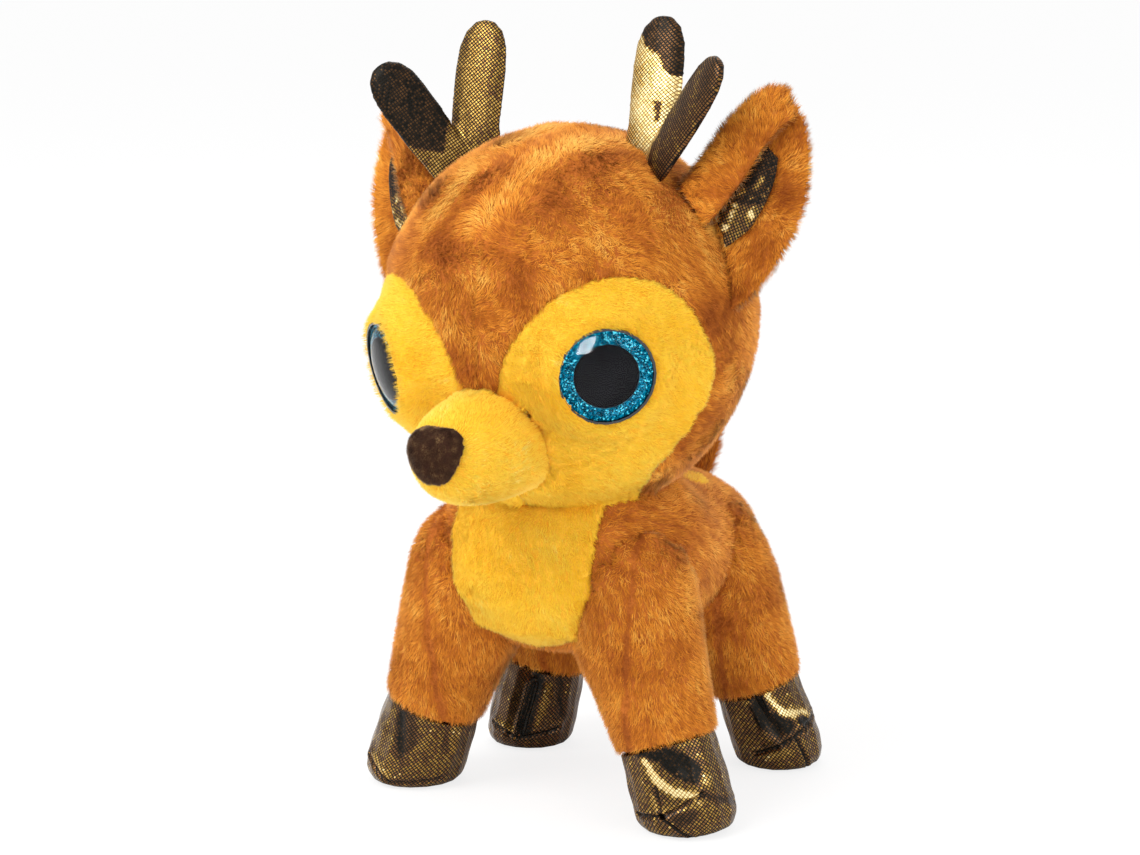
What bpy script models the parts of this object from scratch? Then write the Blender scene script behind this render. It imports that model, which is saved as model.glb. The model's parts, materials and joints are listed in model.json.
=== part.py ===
"""Plush fawn, 15 cm class, standing on four foil hooves.

It is built as it is sewn: cloth covers in panels over stuffing, safety eyes
held by washers, folded ears and flat antlers hinged at their seams.
Metres, +Z up. The fawn faces -Y and its own left side is +X.
"""

import math

import bmesh
import bpy
from mathutils import Matrix, Vector

# Head, measured from its own centre: an egg that is a little fuller below
HEAD_HALF_WIDTH = 0.0399
HEAD_HALF_DEPTH_FRONT = 0.0408
HEAD_HALF_DEPTH_BACK = 0.0376
HEAD_ABOVE = 0.0402
HEAD_BELOW = 0.0418
HEAD_CENTRE = (-0.0006, -0.0138, 0.1031)
HEAD_TILT_DEG = -3.6
NECK_DROP = 0.0354
HEAD_JAW_SHARE = 0.30

# Cloth and stuffing
COVER_WALL = 0.0014
SEAM_GAP = 0.0003
FIT_GAP = 0.0001

# Safety eyes
EYE_DIAMETER = 0.0200
EYE_AZIMUTH_DEG = 38.0
EYE_DROP_DEG = 9.2
EYE_RIM_WALL = 0.0005
EYE_PLATE = 0.0005
EYE_FOIL = 0.0004
EYE_DOME_HEIGHT = 0.0015
EYE_LENS_EDGE = 0.0004
PUPIL_DIAMETER = 0.0130
SHANK_DIAMETER = 0.0036
SHANK_LENGTH = 0.0090
WASHER_DIAMETER = 0.0120
WASHER_THICKNESS = 0.0010
WASHER_INSET = 0.0008

# Yellow face patch, outlined round the eye in the plane that faces it
PATCH_REACH = 0.0243
PATCH_SHARES = (
    (-0.86, -0.08), (-0.81, 0.13), (-0.66, 0.36), (-0.45, 0.58), (-0.19, 0.70),
    (0.08, 0.75), (0.33, 0.72), (0.57, 0.63), (0.76, 0.45), (0.91, 0.20),
    (1.00, -0.10), (0.98, -0.33), (0.84, -0.54), (0.69, -0.75), (0.53, -0.97),
    (0.39, -1.21), (0.33, -1.50),
)
PATCH_DEPTH_SHARE = 0.9
PATCH_CLOSING_SHARES = ((0.33, -2.20), (-2.00, -2.20), (-2.00, -0.50), (-0.86, -0.40))

# Muzzle and nose, from the head's centre
MUZZLE_HALF_WIDTH = 0.0122
MUZZLE_HALF_HEIGHT = 0.0120
MUZZLE_REACH = 0.0584
MUZZLE_LENGTH = 0.0250
MUZZLE_DROP = 0.0205
MUZZLE_POWER = 2.6
NOSE_HALF_WIDTH = 0.0076
NOSE_HALF_HEIGHT = 0.0064
NOSE_THICKNESS = 0.0026
NOSE_DROP = 0.0194
NOSE_POINT_SHARE = 0.30
NOSE_POWER = 2.3
NOSE_SHARES = ((0.00, 0.96), (0.35, 1.00), (0.62, 0.93), (0.82, 0.74), (0.95, 0.42))

# Ears, from the head's centre; the outline lies in the ear's own plane
EAR_BASE_TOP = (0.0300, 0.0010, 0.0315)
EAR_BASE_BOTTOM = (0.0443, 0.0002, 0.0078)
EAR_TIP = (0.0506, 0.0086, 0.0450)
EAR_WALL = 0.0022
EAR_FOLD = 0.0046
EAR_FOLD_TIP_SHARE = 0.66
EAR_CUP_SHARE = 0.35
EAR_CREASE_SHARES = (
    (0.15, -0.32), (0.06, 0.02), (-0.02, 0.20), (-0.10, 0.40), (-0.16, 0.62), (-0.17, 0.80), (-0.09, 0.94),
)
EAR_FRONT_SHARES = (
    (0.56, -0.32), (0.43, 0.03), (0.37, 0.20), (0.29, 0.38), (0.19, 0.58), (0.14, 0.75), (0.12, 0.91),
)
EAR_REAR_SHARES = (
    (1.12, -0.32), (1.03, 0.03), (0.94, 0.22), (0.82, 0.45), (0.62, 0.68), (0.40, 0.84), (0.18, 0.93),
)
EAR_FLAP_SHARES = (0.30, 0.62, 1.00)
EAR_SEAM_SHARE = -0.12
EAR_TURNS = 5
EAR_LINING_WALL = 0.0006
EAR_LINING_REACH_SHARE = 0.56
EAR_LINING_TOP_SHARE = 0.62
EAR_LINING_TAPER_SHARE = 0.50
EAR_RIGHT_SWING_DEG = 12.0
EAR_SWING_DEG = {1: (-6.0, 14.0), -1: (-14.0, 6.0)}

# Antlers, from the head's centre
ANTLER_BASE = (0.0212, -0.0012, 0.0342)
ANTLER_LEAN_DEG = 18.0
ANTLER_LENGTH = 0.0288
ANTLER_HALF_WIDTH = 0.0064
ANTLER_HALF_THICKNESS = 0.0019
ANTLER_WIDTH_SHARES = (
    (-0.24, 0.86), (0.00, 0.90), (0.18, 0.96), (0.40, 1.00), (0.62, 1.00),
    (0.79, 0.93), (0.91, 0.72), (0.98, 0.38),
)
PRONG_LENGTH = 0.0236
PRONG_HALF_WIDTH = 0.0058
PRONG_ROOT = (0.0262, -0.0048, 0.0345)
PRONG_DIRECTION_SHARES = (0.60, -0.03, 0.80)
PRONG_ACROSS_SHARES = (0.64, -0.61, -0.47)
ANTLER_FORWARD_DEG = -8.0
ANTLER_BACK_DEG = 6.0

# Trunk: side view of the back and the belly, from the neck to the rump
TRUNK_LENGTH = 0.0890
TRUNK_HEIGHT = 0.0370
TRUNK_HALF_WIDTH = 0.0290
TRUNK_FRONT = -0.0420
TRUNK_LOW = 0.0300
HIND_HIP_SHARE = 0.652
HIND_LEFT_FOOT_SHARE = 0.737
HIND_RIGHT_FOOT_SHARE = 0.584
TRUNK_BACK_SHARES = (
    (0.54, 1.16), (0.54, 1.06), (0.57, 0.99), (0.63, 0.96),
    (0.70, 0.95), (0.78, 0.91), (0.88, 0.80), (0.95, 0.62),
)
TRUNK_BELLY_SHARES = (
    (0.08, 1.16), (0.04, 0.98), (0.00, 0.62), (0.06, 0.24),
    (0.28, 0.03), (0.62, 0.00), (0.86, 0.12), (0.95, 0.36),
)
TRUNK_WIDTH_SHARES = (0.68, 0.79, 0.97, 1.00, 0.93, 0.85, 0.69, 0.42)
TRUNK_POWER = 2.2
TRUNK_RUMP = 0.0020

# Yellow chest panel, seen from the front
CHEST_HALF_WIDTH = 0.0168
CHEST_TOP = 0.0720
CHEST_LOW = 0.0350
CHEST_BACK = -0.0200
CHEST_SHARES = (
    (1.00, 1.00), (1.00, 0.66), (1.00, 0.40), (0.90, 0.22), (0.62, 0.09), (0.30, 0.02), (0.00, 0.00),
)

# Legs: where each sole stands and where its axis ends inside the trunk
FRONT_LEFT_FOOT = (0.0345, -0.0262, 0.0000)
FRONT_RIGHT_FOOT = (-0.0343, -0.0255, 0.0000)
HIND_LEFT_FOOT = (0.0322, TRUNK_FRONT + TRUNK_LENGTH * HIND_LEFT_FOOT_SHARE, 0.0000)
HIND_RIGHT_FOOT = (-0.0252, TRUNK_FRONT + TRUNK_LENGTH * HIND_RIGHT_FOOT_SHARE, 0.0000)
FRONT_HIP = (0.0150, -0.0235, 0.0570)
HIND_HIP = (0.0150, TRUNK_FRONT + TRUNK_LENGTH * HIND_HIP_SHARE, 0.0550)
FRONT_LEG_HALF_WIDTH = 0.0114
HIND_LEG_HALF_WIDTH = 0.0106
# Height share up the axis, half width and half depth as shares of the leg's half width
FRONT_LEG_SHARES = (
    (0.30, 1.00, 1.00), (0.42, 1.06, 1.06), (0.55, 1.15, 1.14), (0.70, 1.26, 1.23),
    (0.84, 1.34, 1.28), (0.94, 1.28, 1.20), (1.02, 1.04, 1.00), (1.07, 0.62, 0.60),
)
HIND_LEG_SHARES = (
    (0.30, 1.00, 1.00), (0.42, 1.04, 1.10), (0.55, 1.09, 1.26), (0.70, 1.12, 1.38),
    (0.84, 1.08, 1.38), (0.94, 0.95, 1.22), (1.02, 0.74, 0.96), (1.07, 0.44, 0.58),
)
LEG_TIP_SHARE = 1.09
FRONT_HOOF_HALF_WIDTH = 0.0106
HIND_HOOF_HALF_WIDTH = 0.0097
HOOF_HEIGHT = 0.0186
HOOF_TOE_SHARES = ((-0.13, 0.66), (-0.08, 0.84), (0.04, 0.96), (0.24, 1.00), (0.60, 0.99), (1.00, 0.95))
STUFFING_TOE_SHARES = ((0.20, 0.62), (0.28, 0.88), (0.46, 1.00), (0.80, 0.98))

# Tail, from its root on the rump
TAIL_ROOT_SHARES = (0.930, 0.692)
TAIL_LENGTH = 0.0188
TAIL_HALF_WIDTH = 0.0058
TAIL_HALF_THICKNESS = 0.0026
TAIL_LEAN_DEG = 26.0
TAIL_UP_DEG = -8.0
TAIL_DOWN_DEG = 25.0
TAIL_WIDTH_SHARES = (
    (-0.34, 0.62), (0.00, 0.72), (0.22, 0.90), (0.48, 1.00), (0.70, 0.92), (0.87, 0.68), (0.96, 0.36),
)

# Yellow spots on the back
SPOT_HALF_LENGTH = 0.0050
SPOT_HALF_WIDTH = 0.0036
SPOT_THICKNESS = 0.0007
SPOT_SIDE = 0.0125
SPOT_BACK_SHARE = 0.663

# Faces round and along each form
HEAD_SEGMENTS = 36
HEAD_RINGS = 18
FILL_SEGMENTS = 24
FILL_RINGS = 10
MUZZLE_SEGMENTS = 24
EYE_SEGMENTS = 28
LIMB_SEGMENTS = 18
ANTLER_SEGMENTS = 12
TRUNK_SEGMENTS = 28
TRUNK_RINGS = 15
EAR_SECTIONS = 9

# How far a cutting shape runs past what it cuts
OVERRUN = 0.0200

BROWN_PLUSH = ("brown_plush", (0.58, 0.24, 0.055), 0.95, 0.0)
YELLOW_PLUSH = ("yellow_plush", (1.0, 0.62, 0.10), 0.95, 0.0)
NOSE_FLOCK = ("nose_flock", (0.065, 0.026, 0.014), 0.95, 0.0)
FOIL_CLOTH = ("foil_cloth", (0.16, 0.10, 0.055), 0.35, 0.7)
STUFFING = ("stuffing", (0.86, 0.85, 0.82), 1.0, 0.0)
BLACK_PLASTIC = ("black_plastic", (0.01, 0.01, 0.012), 0.25, 0.0)
CLEAR_PLASTIC = ("clear_plastic", (0.95, 0.97, 1.0), 0.03, 0.0)
GLITTER_FOIL = ("glitter_foil", (0.0, 0.16, 0.30), 0.25, 0.8)
PUPIL_BLACK = ("pupil_black", (0.005, 0.005, 0.006), 0.2, 0.0)
WHITE_PLASTIC = ("white_plastic", (0.8, 0.8, 0.78), 0.5, 0.0)


def clear_scene():
    for old in list(bpy.data.objects):
        bpy.data.objects.remove(old)


def material_for(finish):
    """A Principled material made once for each finish."""
    name, colour, roughness, metallic = finish
    material = bpy.data.materials.get(name)
    if material is None:
        material = bpy.data.materials.new(name)
        material.use_nodes = True
        shader = material.node_tree.nodes["Principled BSDF"]
        shader.inputs["Base Color"].default_value = (*colour, 1.0)
        shader.inputs["Roughness"].default_value = roughness
        shader.inputs["Metallic"].default_value = metallic
        material.diffuse_color = (*colour, 1.0)
    return material


def new_object(name, faces_mesh, finish=None, parent=None, place=None):
    """Link a bmesh as an object; its coordinates are its parent's, moved by place."""
    mesh = bpy.data.meshes.new(name)
    bmesh.ops.recalc_face_normals(faces_mesh, faces=faces_mesh.faces)
    if faces_mesh.calc_volume(signed=True) < 0:
        bmesh.ops.reverse_faces(faces_mesh, faces=faces_mesh.faces)
    faces_mesh.to_mesh(mesh)
    faces_mesh.free()
    piece = bpy.data.objects.new(name, mesh)
    bpy.context.scene.collection.objects.link(piece)
    piece.parent = parent
    if place is not None:
        piece.matrix_local = place
    if finish is None:
        piece.hide_render = True
        piece.display_type = "WIRE"
    else:
        mesh.materials.append(material_for(finish))
        mesh.shade_smooth()
        mesh.set_sharp_from_angle(angle=math.radians(40))
    bpy.context.view_layer.update()
    return piece


def new_frame(name, place, parent=None):
    """An empty that carries pieces."""
    frame = bpy.data.objects.new(name, None)
    frame.parent = parent
    frame.matrix_local = place
    bpy.context.scene.collection.objects.link(frame)
    bpy.context.view_layer.update()
    return frame


def boolean(piece, tool, operation="DIFFERENCE"):
    """Cut, join or clip a piece with a tool, and keep the result as its mesh."""
    bpy.context.view_layer.update()
    modifier = piece.modifiers.new(operation.lower(), "BOOLEAN")
    modifier.operation = operation
    modifier.solver = "EXACT"
    modifier.object = tool
    bpy.context.view_layer.update()
    graph = bpy.context.evaluated_depsgraph_get()
    cut = bpy.data.meshes.new_from_object(piece.evaluated_get(graph))
    piece.modifiers.clear()
    old = piece.data
    finish = old.materials[0] if old.materials else None
    piece.data = cut
    bpy.data.meshes.remove(old)
    cut.materials.clear()
    if finish:
        cut.materials.append(finish)
    tidy = bmesh.new()
    tidy.from_mesh(cut)
    bmesh.ops.dissolve_degenerate(tidy, dist=SEAM_GAP / 100, edges=tidy.edges)
    bmesh.ops.triangulate(tidy, faces=tidy.faces)
    tidy.to_mesh(cut)
    tidy.free()
    return piece


def copy_of(piece, name, finish):
    """The same shape and place under another name and material."""
    twin = piece.copy()
    twin.data = piece.data.copy()
    twin.name = name
    twin.hide_render = False
    twin.display_type = "TEXTURED"
    bpy.context.scene.collection.objects.link(twin)
    twin.data.materials.clear()
    twin.data.materials.append(material_for(finish))
    twin.data.shade_smooth()
    twin.data.set_sharp_from_angle(angle=math.radians(40))
    return twin


def remove(*pieces):
    for piece in pieces:
        bpy.data.objects.remove(piece)


def skin(rings):
    """A closed skin over rings of points; a ring of one point is a pole."""
    form = bmesh.new()
    rows = [[form.verts.new(point) for point in ring] for ring in rings]
    for row, following in zip(rows, rows[1:]):
        count = max(len(row), len(following))
        for i in range(count):
            j = (i + 1) % count
            if len(row) == 1:
                form.faces.new((row[0], following[j], following[i]))
            elif len(following) == 1:
                form.faces.new((row[i], row[j], following[0]))
            else:
                form.faces.new((row[i], row[j], following[j], following[i]))
    for row in (rows[0], rows[-1]):
        if len(row) > 1:
            form.faces.new(row)
    return form


def superellipse(angle, power):
    """A point on a unit superellipse."""
    x, y = math.cos(angle), math.sin(angle)
    size = (abs(x) ** power + abs(y) ** power) ** (-1 / power)
    return x * size, y * size


def steps(count):
    """Angles that go once round."""
    return [2 * math.pi * i / count for i in range(count)]


def smooth_run(points, step_count):
    """An open Catmull-Rom curve through points, with step_count points in all."""
    vectors = [Vector(point) for point in points]
    padded = [2 * vectors[0] - vectors[1], *vectors, 2 * vectors[-1] - vectors[-2]]
    run = []
    spans = len(vectors) - 1
    for step in range(step_count):
        along = spans * step / (step_count - 1)
        i = min(int(along), spans - 1)
        t = along - i
        before, start, end, after = padded[i:i + 4]
        run.append(
            0.5 * (
                2 * start
                + (end - before) * t
                + (2 * before - 5 * start + 4 * end - after) * t * t
                + (3 * start - before - 3 * end + after) * t ** 3
            )
        )
    return run


def grow(outline, distance):
    """A flat outline moved outwards by a distance."""
    area = sum(a.x * b.y - b.x * a.y for a, b in zip(outline, outline[1:] + outline[:1]))
    turn = 1 if area > 0 else -1
    grown = []
    for i, point in enumerate(outline):
        along = (outline[(i + 1) % len(outline)] - outline[i - 1]).normalized()
        grown.append(point + distance * turn * Vector((along.y, -along.x)))
    return grown


def prism(name, outline, place, start, end, parent=None, finish=None):
    """An outline in its own X and Y, extruded along its own Z from start to end."""
    rings = [[Vector((p.x, p.y, level)) for p in outline] for level in (start, end)]
    return new_object(name, skin(rings), finish, parent, place)


def box(name, low, high, parent=None):
    """A cutting box between two corners."""
    form = bmesh.new()
    bmesh.ops.create_cube(form, size=1)
    size = Vector(high) - Vector(low)
    middle = (Vector(high) + Vector(low)) / 2
    bmesh.ops.scale(form, vec=size, verts=form.verts)
    bmesh.ops.translate(form, vec=middle, verts=form.verts)
    return new_object(name, form, None, parent)


def turned(name, profile, segments, place, parent=None, finish=None):
    """A solid turned about its own Z; profile is radius and height, pole to pole."""
    rings = []
    for radius, height in profile:
        if radius == 0:
            rings.append([Vector((0, 0, height))])
        else:
            rings.append([
                Vector((radius * math.cos(angle), radius * math.sin(angle), height))
                for angle in steps(segments)
            ])
    return new_object(name, skin(rings), finish, parent, place)


def frame_facing(point, normal, upwards=(0, 0, 1)):
    """A frame at a point whose Z is the normal and whose Y leans upwards."""
    z = Vector(normal).normalized()
    x = Vector(upwards).cross(z).normalized()
    y = z.cross(x)
    turn = Matrix((x, y, z)).transposed().to_4x4()
    return Matrix.Translation(point) @ turn


def mirror_x(point):
    return Vector((-point[0], point[1], point[2]))


def set_origin(piece, point):
    """Move an object's origin to a point of its parent's frame, and leave its shape in place."""
    shift = piece.matrix_local.inverted() @ Vector(point)
    piece.data.transform(Matrix.Translation(-shift))
    piece.matrix_local = piece.matrix_local @ Matrix.Translation(shift)


# Head


def head_power(angle, height):
    """How square the egg is: round above, full at the lower front and lean at the lower back."""
    return 2.0 if height > 0 else 2.0 + HEAD_JAW_SHARE * math.cos(angle)


def head_point(angle, height_share, offset):
    """A point on the head's egg, grown by an offset."""
    tall = (HEAD_ABOVE if height_share > 0 else HEAD_BELOW) + offset
    power = head_power(angle, height_share)
    radius_share = max(0, 1 - abs(height_share) ** power) ** (1 / power)
    x = math.sin(angle) * (HEAD_HALF_WIDTH + offset) * radius_share
    deep = HEAD_HALF_DEPTH_FRONT if math.cos(angle) > 0 else HEAD_HALF_DEPTH_BACK
    y = -math.cos(angle) * (deep + offset) * radius_share
    return Vector((x, y, tall * height_share))


def head_egg(name, offset, frame, segments, rings, finish=None):
    """The whole egg of the head, grown by an offset."""
    levels = [math.cos(math.pi * i / rings) for i in range(1, rings)]
    loops = [[head_point(0, 1, offset)]]
    loops += [[head_point(angle, level, offset) for angle in steps(segments)] for level in levels]
    loops.append([head_point(0, -1, offset)])
    return new_object(name, skin(loops), finish, frame)


def eye_normal(side):
    azimuth = math.radians(EYE_AZIMUTH_DEG)
    drop = math.radians(EYE_DROP_DEG)
    level = math.cos(drop)
    return Vector((side * math.sin(azimuth) * level, -math.cos(azimuth) * level, -math.sin(drop)))


def head_surface(direction, offset=0):
    """The point of the head's egg that lies in a direction from its centre."""
    direction = Vector(direction).normalized()
    low, high = 0, 2 * HEAD_HALF_WIDTH
    for _ in range(40):
        middle = (low + high) / 2
        point = direction * middle
        wide = point.x / (HEAD_HALF_WIDTH + offset)
        deep = point.y / ((HEAD_HALF_DEPTH_FRONT if point.y < 0 else HEAD_HALF_DEPTH_BACK) + offset)
        tall = point.z / ((HEAD_ABOVE if point.z > 0 else HEAD_BELOW) + offset)
        power = head_power(math.atan2(wide, -deep), point.z)
        inside = math.hypot(wide, deep) ** power + abs(tall) ** power < 1
        low, high = (middle, high) if inside else (low, middle)
    return direction * low


def eye_seat(side):
    """The eye's frame: on the head's surface, facing out, with its Y upwards."""
    return frame_facing(head_surface(eye_normal(side)), eye_normal(side))


def patch_outline(side, gap):
    """The face patch round the eye, in the eye's own X and Y."""
    curve = smooth_run([(a, b, 0) for a, b in PATCH_SHARES], 2 * len(PATCH_SHARES))
    points = [*[(p.x, p.y) for p in curve], *PATCH_CLOSING_SHARES]
    outline = [Vector((side * PATCH_REACH * a, PATCH_REACH * b)) for a, b in points]
    return grow(outline, gap)


def muzzle_solid(name, offset, frame, segments, rings, finish=None):
    """The blunt snout, from inside the head to its tip, grown by an offset."""
    loops = []
    base = MUZZLE_REACH - MUZZLE_LENGTH
    for i in range(rings + 1):
        reach_share = math.sin(math.pi / 2 * i / rings)
        if i == rings:
            loops.append([Vector((0, -(base + MUZZLE_LENGTH + offset), -MUZZLE_DROP))])
            continue
        size = (1 - reach_share ** MUZZLE_POWER) ** (1 / MUZZLE_POWER)
        y = -(base + (MUZZLE_LENGTH + offset) * reach_share)
        loops.append([
            Vector((
                (MUZZLE_HALF_WIDTH + offset) * size * math.cos(angle),
                y,
                (MUZZLE_HALF_HEIGHT + offset) * size * math.sin(angle) - MUZZLE_DROP,
            ))
            for angle in steps(segments)
        ])
    root = [Vector((p.x, 0, p.z)) for p in loops[0]]
    return new_object(name, skin([root, *loops]), finish, frame)


def nose_solid(frame):
    """A padded nose, wide above and narrow below, over the tip of the muzzle."""
    loops = []
    back = -(MUZZLE_REACH - 2 * NOSE_THICKNESS)
    front = -(MUZZLE_REACH + NOSE_THICKNESS)
    for depth_share, size in NOSE_SHARES:
        loop = []
        for angle in steps(MUZZLE_SEGMENTS):
            across, upward = superellipse(angle, NOSE_POWER)
            narrow = 1 - NOSE_POINT_SHARE * (1 - upward) / 2
            loop.append(Vector((
                NOSE_HALF_WIDTH * across * narrow * size,
                back + (front - back) * depth_share,
                NOSE_HALF_HEIGHT * upward * size - NOSE_DROP,
            )))
        loops.append(loop)
    loops.append([Vector((0, front, -NOSE_DROP))])
    nose = new_object("nose", skin(loops), NOSE_FLOCK, frame)
    tip = muzzle_solid("muzzle_tip_tool", SEAM_GAP, frame, MUZZLE_SEGMENTS, 8)
    boolean(nose, tip)
    remove(tip)
    return nose


def build_head(frame):
    """Head covers in panels over one stuffing, with the muzzle sewn in."""
    below = -(HEAD_BELOW + OVERRUN)
    wide = HEAD_HALF_WIDTH + OVERRUN
    neck = box("neck_tool", (-wide, -wide, below), (wide, wide, -NECK_DROP), frame)
    cover = head_egg("cover_tool", 0, frame, HEAD_SEGMENTS, HEAD_RINGS)
    hollow = head_egg("hollow_tool", -COVER_WALL, frame, FILL_SEGMENTS, FILL_RINGS + 2)
    muzzle_hole = muzzle_solid("muzzle_hole_tool", SEAM_GAP, frame, MUZZLE_SEGMENTS, 8)
    boolean(cover, hollow)
    boolean(cover, neck)
    boolean(cover, muzzle_hole)
    patch_tools = {}
    for side in (1, -1):
        for gap, key in ((0, "patch"), (SEAM_GAP, "hole")):
            patch_tools[side, key] = prism(
                f"{key}_tool", patch_outline(side, gap), eye_seat(side),
                -HEAD_HALF_WIDTH * PATCH_DEPTH_SHARE, OVERRUN, frame,
            )
    half = SEAM_GAP / 2
    for side, word in ((1, "left"), (-1, "right")):
        near, far = (half, wide) if side > 0 else (-wide, -half)
        side_box = box("side_tool", (near, -wide, below), (far, wide, wide), frame)
        brown = copy_of(cover, f"head_cover_{word}", BROWN_PLUSH)
        boolean(brown, side_box, "INTERSECT")
        boolean(brown, patch_tools[side, "hole"])
        patch = copy_of(cover, f"face_patch_{word}", YELLOW_PLUSH)
        boolean(patch, side_box, "INTERSECT")
        boolean(patch, patch_tools[side, "patch"], "INTERSECT")
        hole = eye_hole(side, frame)
        boolean(patch, hole)
        remove(side_box, hole)
    muzzle = muzzle_solid("muzzle_cover", 0, frame, MUZZLE_SEGMENTS, 8, YELLOW_PLUSH)
    muzzle_inside = muzzle_solid("muzzle_inside_tool", -COVER_WALL, frame, MUZZLE_SEGMENTS - 4, 6)
    inner_head = head_egg("inner_head_tool", -COVER_WALL, frame, FILL_SEGMENTS, FILL_RINGS + 2)
    boolean(muzzle, muzzle_inside)
    boolean(muzzle, inner_head)
    build_head_fill(frame, neck)
    nose_solid(frame)
    remove(cover, hollow, muzzle_hole, muzzle_inside, inner_head, neck, *patch_tools.values())


def build_head_fill(frame, neck):
    """The stuffing, which runs on into the muzzle and makes room for the eyes' shanks."""
    inset = COVER_WALL + SEAM_GAP
    fill = head_egg("head_fill", -inset - SEAM_GAP, frame, FILL_SEGMENTS, FILL_RINGS, STUFFING)
    snout = muzzle_solid("snout_tool", -inset, frame, MUZZLE_SEGMENTS - 8, 5)
    boolean(fill, snout, "UNION")
    boolean(fill, neck)
    for side in (1, -1):
        depth = SHANK_LENGTH + SEAM_GAP
        room = SEAM_GAP
        pocket = turned(
            "pocket_tool",
            (
                (0, -depth),
                (SHANK_DIAMETER / 2 + room, -depth),
                (SHANK_DIAMETER / 2 + room, washer_back() - room),
                (WASHER_DIAMETER / 2 + room, washer_back() - room),
                (WASHER_DIAMETER / 2 + room, 0),
                (0, 0),
            ),
            EYE_SEGMENTS // 2, eye_seat(side), frame,
        )
        boolean(fill, pocket)
        remove(pocket)
    remove(snout)
    return fill


# Eyes, along each eye's own Z, with zero on the head's surface


def eye_plate_front():
    """Height of the plate's front face, over the bulge of the head."""
    return SEAM_GAP + EYE_PLATE


def rim_height():
    return eye_plate_front() + FIT_GAP + EYE_FOIL + FIT_GAP + EYE_LENS_EDGE


def washer_back():
    """Height of the washer's back face: its whole rim lies under the cover, however the head curves."""
    seat = eye_seat(1)
    lowest = 0
    for angle in steps(EYE_SEGMENTS):
        edge = Vector((math.cos(angle), math.sin(angle), 0)) * WASHER_DIAMETER / 2
        lowest = min(lowest, (seat.inverted() @ head_surface(seat @ edge)).z)
    return lowest - (COVER_WALL + WASHER_INSET + WASHER_THICKNESS)


def eye_hole(side, frame):
    """The hole for the shank through the face patch."""
    radius = SHANK_DIAMETER / 2 + SEAM_GAP
    deep = 2 * COVER_WALL
    profile = ((0, -deep), (radius, -deep), (radius, deep), (0, deep))
    return turned("eye_hole_tool", profile, EYE_SEGMENTS // 2, eye_seat(side), frame)


def build_eye(side, word, frame):
    """Backing with its shank, glitter ring, pupil, clear dome and washer."""
    seat = eye_seat(side)
    outer = EYE_DIAMETER / 2
    inner = outer - EYE_RIM_WALL
    plate, rim = eye_plate_front(), rim_height()
    shank = SHANK_DIAMETER / 2
    backing = turned(
        f"eye_backing_{word}",
        ((0, -OVERRUN), (outer, -OVERRUN), (outer, rim), (inner, rim), (inner, plate), (0, plate)),
        EYE_SEGMENTS, seat, frame, BLACK_PLASTIC,
    )
    head = head_egg("head_tool", SEAM_GAP, frame, HEAD_SEGMENTS, HEAD_RINGS)
    boolean(backing, head)
    stem_top = plate - EYE_PLATE / 2
    stem = turned(
        "stem_tool", ((0, -SHANK_LENGTH), (shank, -SHANK_LENGTH), (shank, stem_top), (0, stem_top)),
        EYE_SEGMENTS // 2, seat, frame,
    )
    boolean(backing, stem, "UNION")
    disc = inner - FIT_GAP
    low = plate + FIT_GAP
    pupil = PUPIL_DIAMETER / 2
    ring = pupil + FIT_GAP
    iris = turned(
        f"eye_iris_{word}", ((0, low), (disc, low), (disc, low + EYE_FOIL), (0, low + EYE_FOIL)),
        EYE_SEGMENTS, seat, frame, GLITTER_FOIL,
    )
    under, over = low - EYE_FOIL, low + 2 * EYE_FOIL
    bore = turned(
        "bore_tool", ((0, under), (ring, under), (ring, over), (0, over)), EYE_SEGMENTS, seat, frame,
    )
    boolean(iris, bore)
    turned(
        f"eye_pupil_{word}", ((0, low), (pupil, low), (pupil, low + EYE_FOIL), (0, low + EYE_FOIL)),
        EYE_SEGMENTS, seat, frame, PUPIL_BLACK,
    )
    base = low + EYE_FOIL + FIT_GAP
    dome = [(0, base), (disc, base)]
    for i in range(5):
        angle = math.pi / 2 * i / 5
        dome.append((disc * math.cos(angle) ** 0.9, base + EYE_LENS_EDGE + EYE_DOME_HEIGHT * math.sin(angle)))
    dome.append((0, base + EYE_LENS_EDGE + EYE_DOME_HEIGHT))
    turned(f"eye_lens_{word}", dome, EYE_SEGMENTS, seat, frame, CLEAR_PLASTIC)
    back = washer_back()
    front = back + WASHER_THICKNESS
    washer = turned(
        f"eye_washer_{word}",
        ((0, back), (WASHER_DIAMETER / 2, back), (WASHER_DIAMETER / 2, front), (0, front)),
        EYE_SEGMENTS // 2, seat, frame, WHITE_PLASTIC,
    )
    hole_radius = shank + FIT_GAP
    hole = turned(
        "washer_hole_tool",
        ((0, -SHANK_LENGTH), (hole_radius, -SHANK_LENGTH), (hole_radius, plate), (0, plate)),
        EYE_SEGMENTS // 2, seat, frame,
    )
    boolean(washer, hole)
    remove(head, stem, bore, hole)


# Pieces that hinge at a seam on the head


def clear_of(piece, base, hinge, axis, angles_deg):
    """Trim a piece so that it stays clear of its base at rest and at each end of its swing."""
    rest = base.matrix_local.copy()
    for angle in (0, *angles_deg):
        turn = Matrix.Rotation(math.radians(-angle), 4, Vector(axis))
        swing = Matrix.Translation(hinge) @ turn @ Matrix.Translation(-Vector(hinge))
        base.matrix_local = swing @ rest
        boolean(piece, base)
    base.matrix_local = rest
    bpy.context.view_layer.update()


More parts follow.
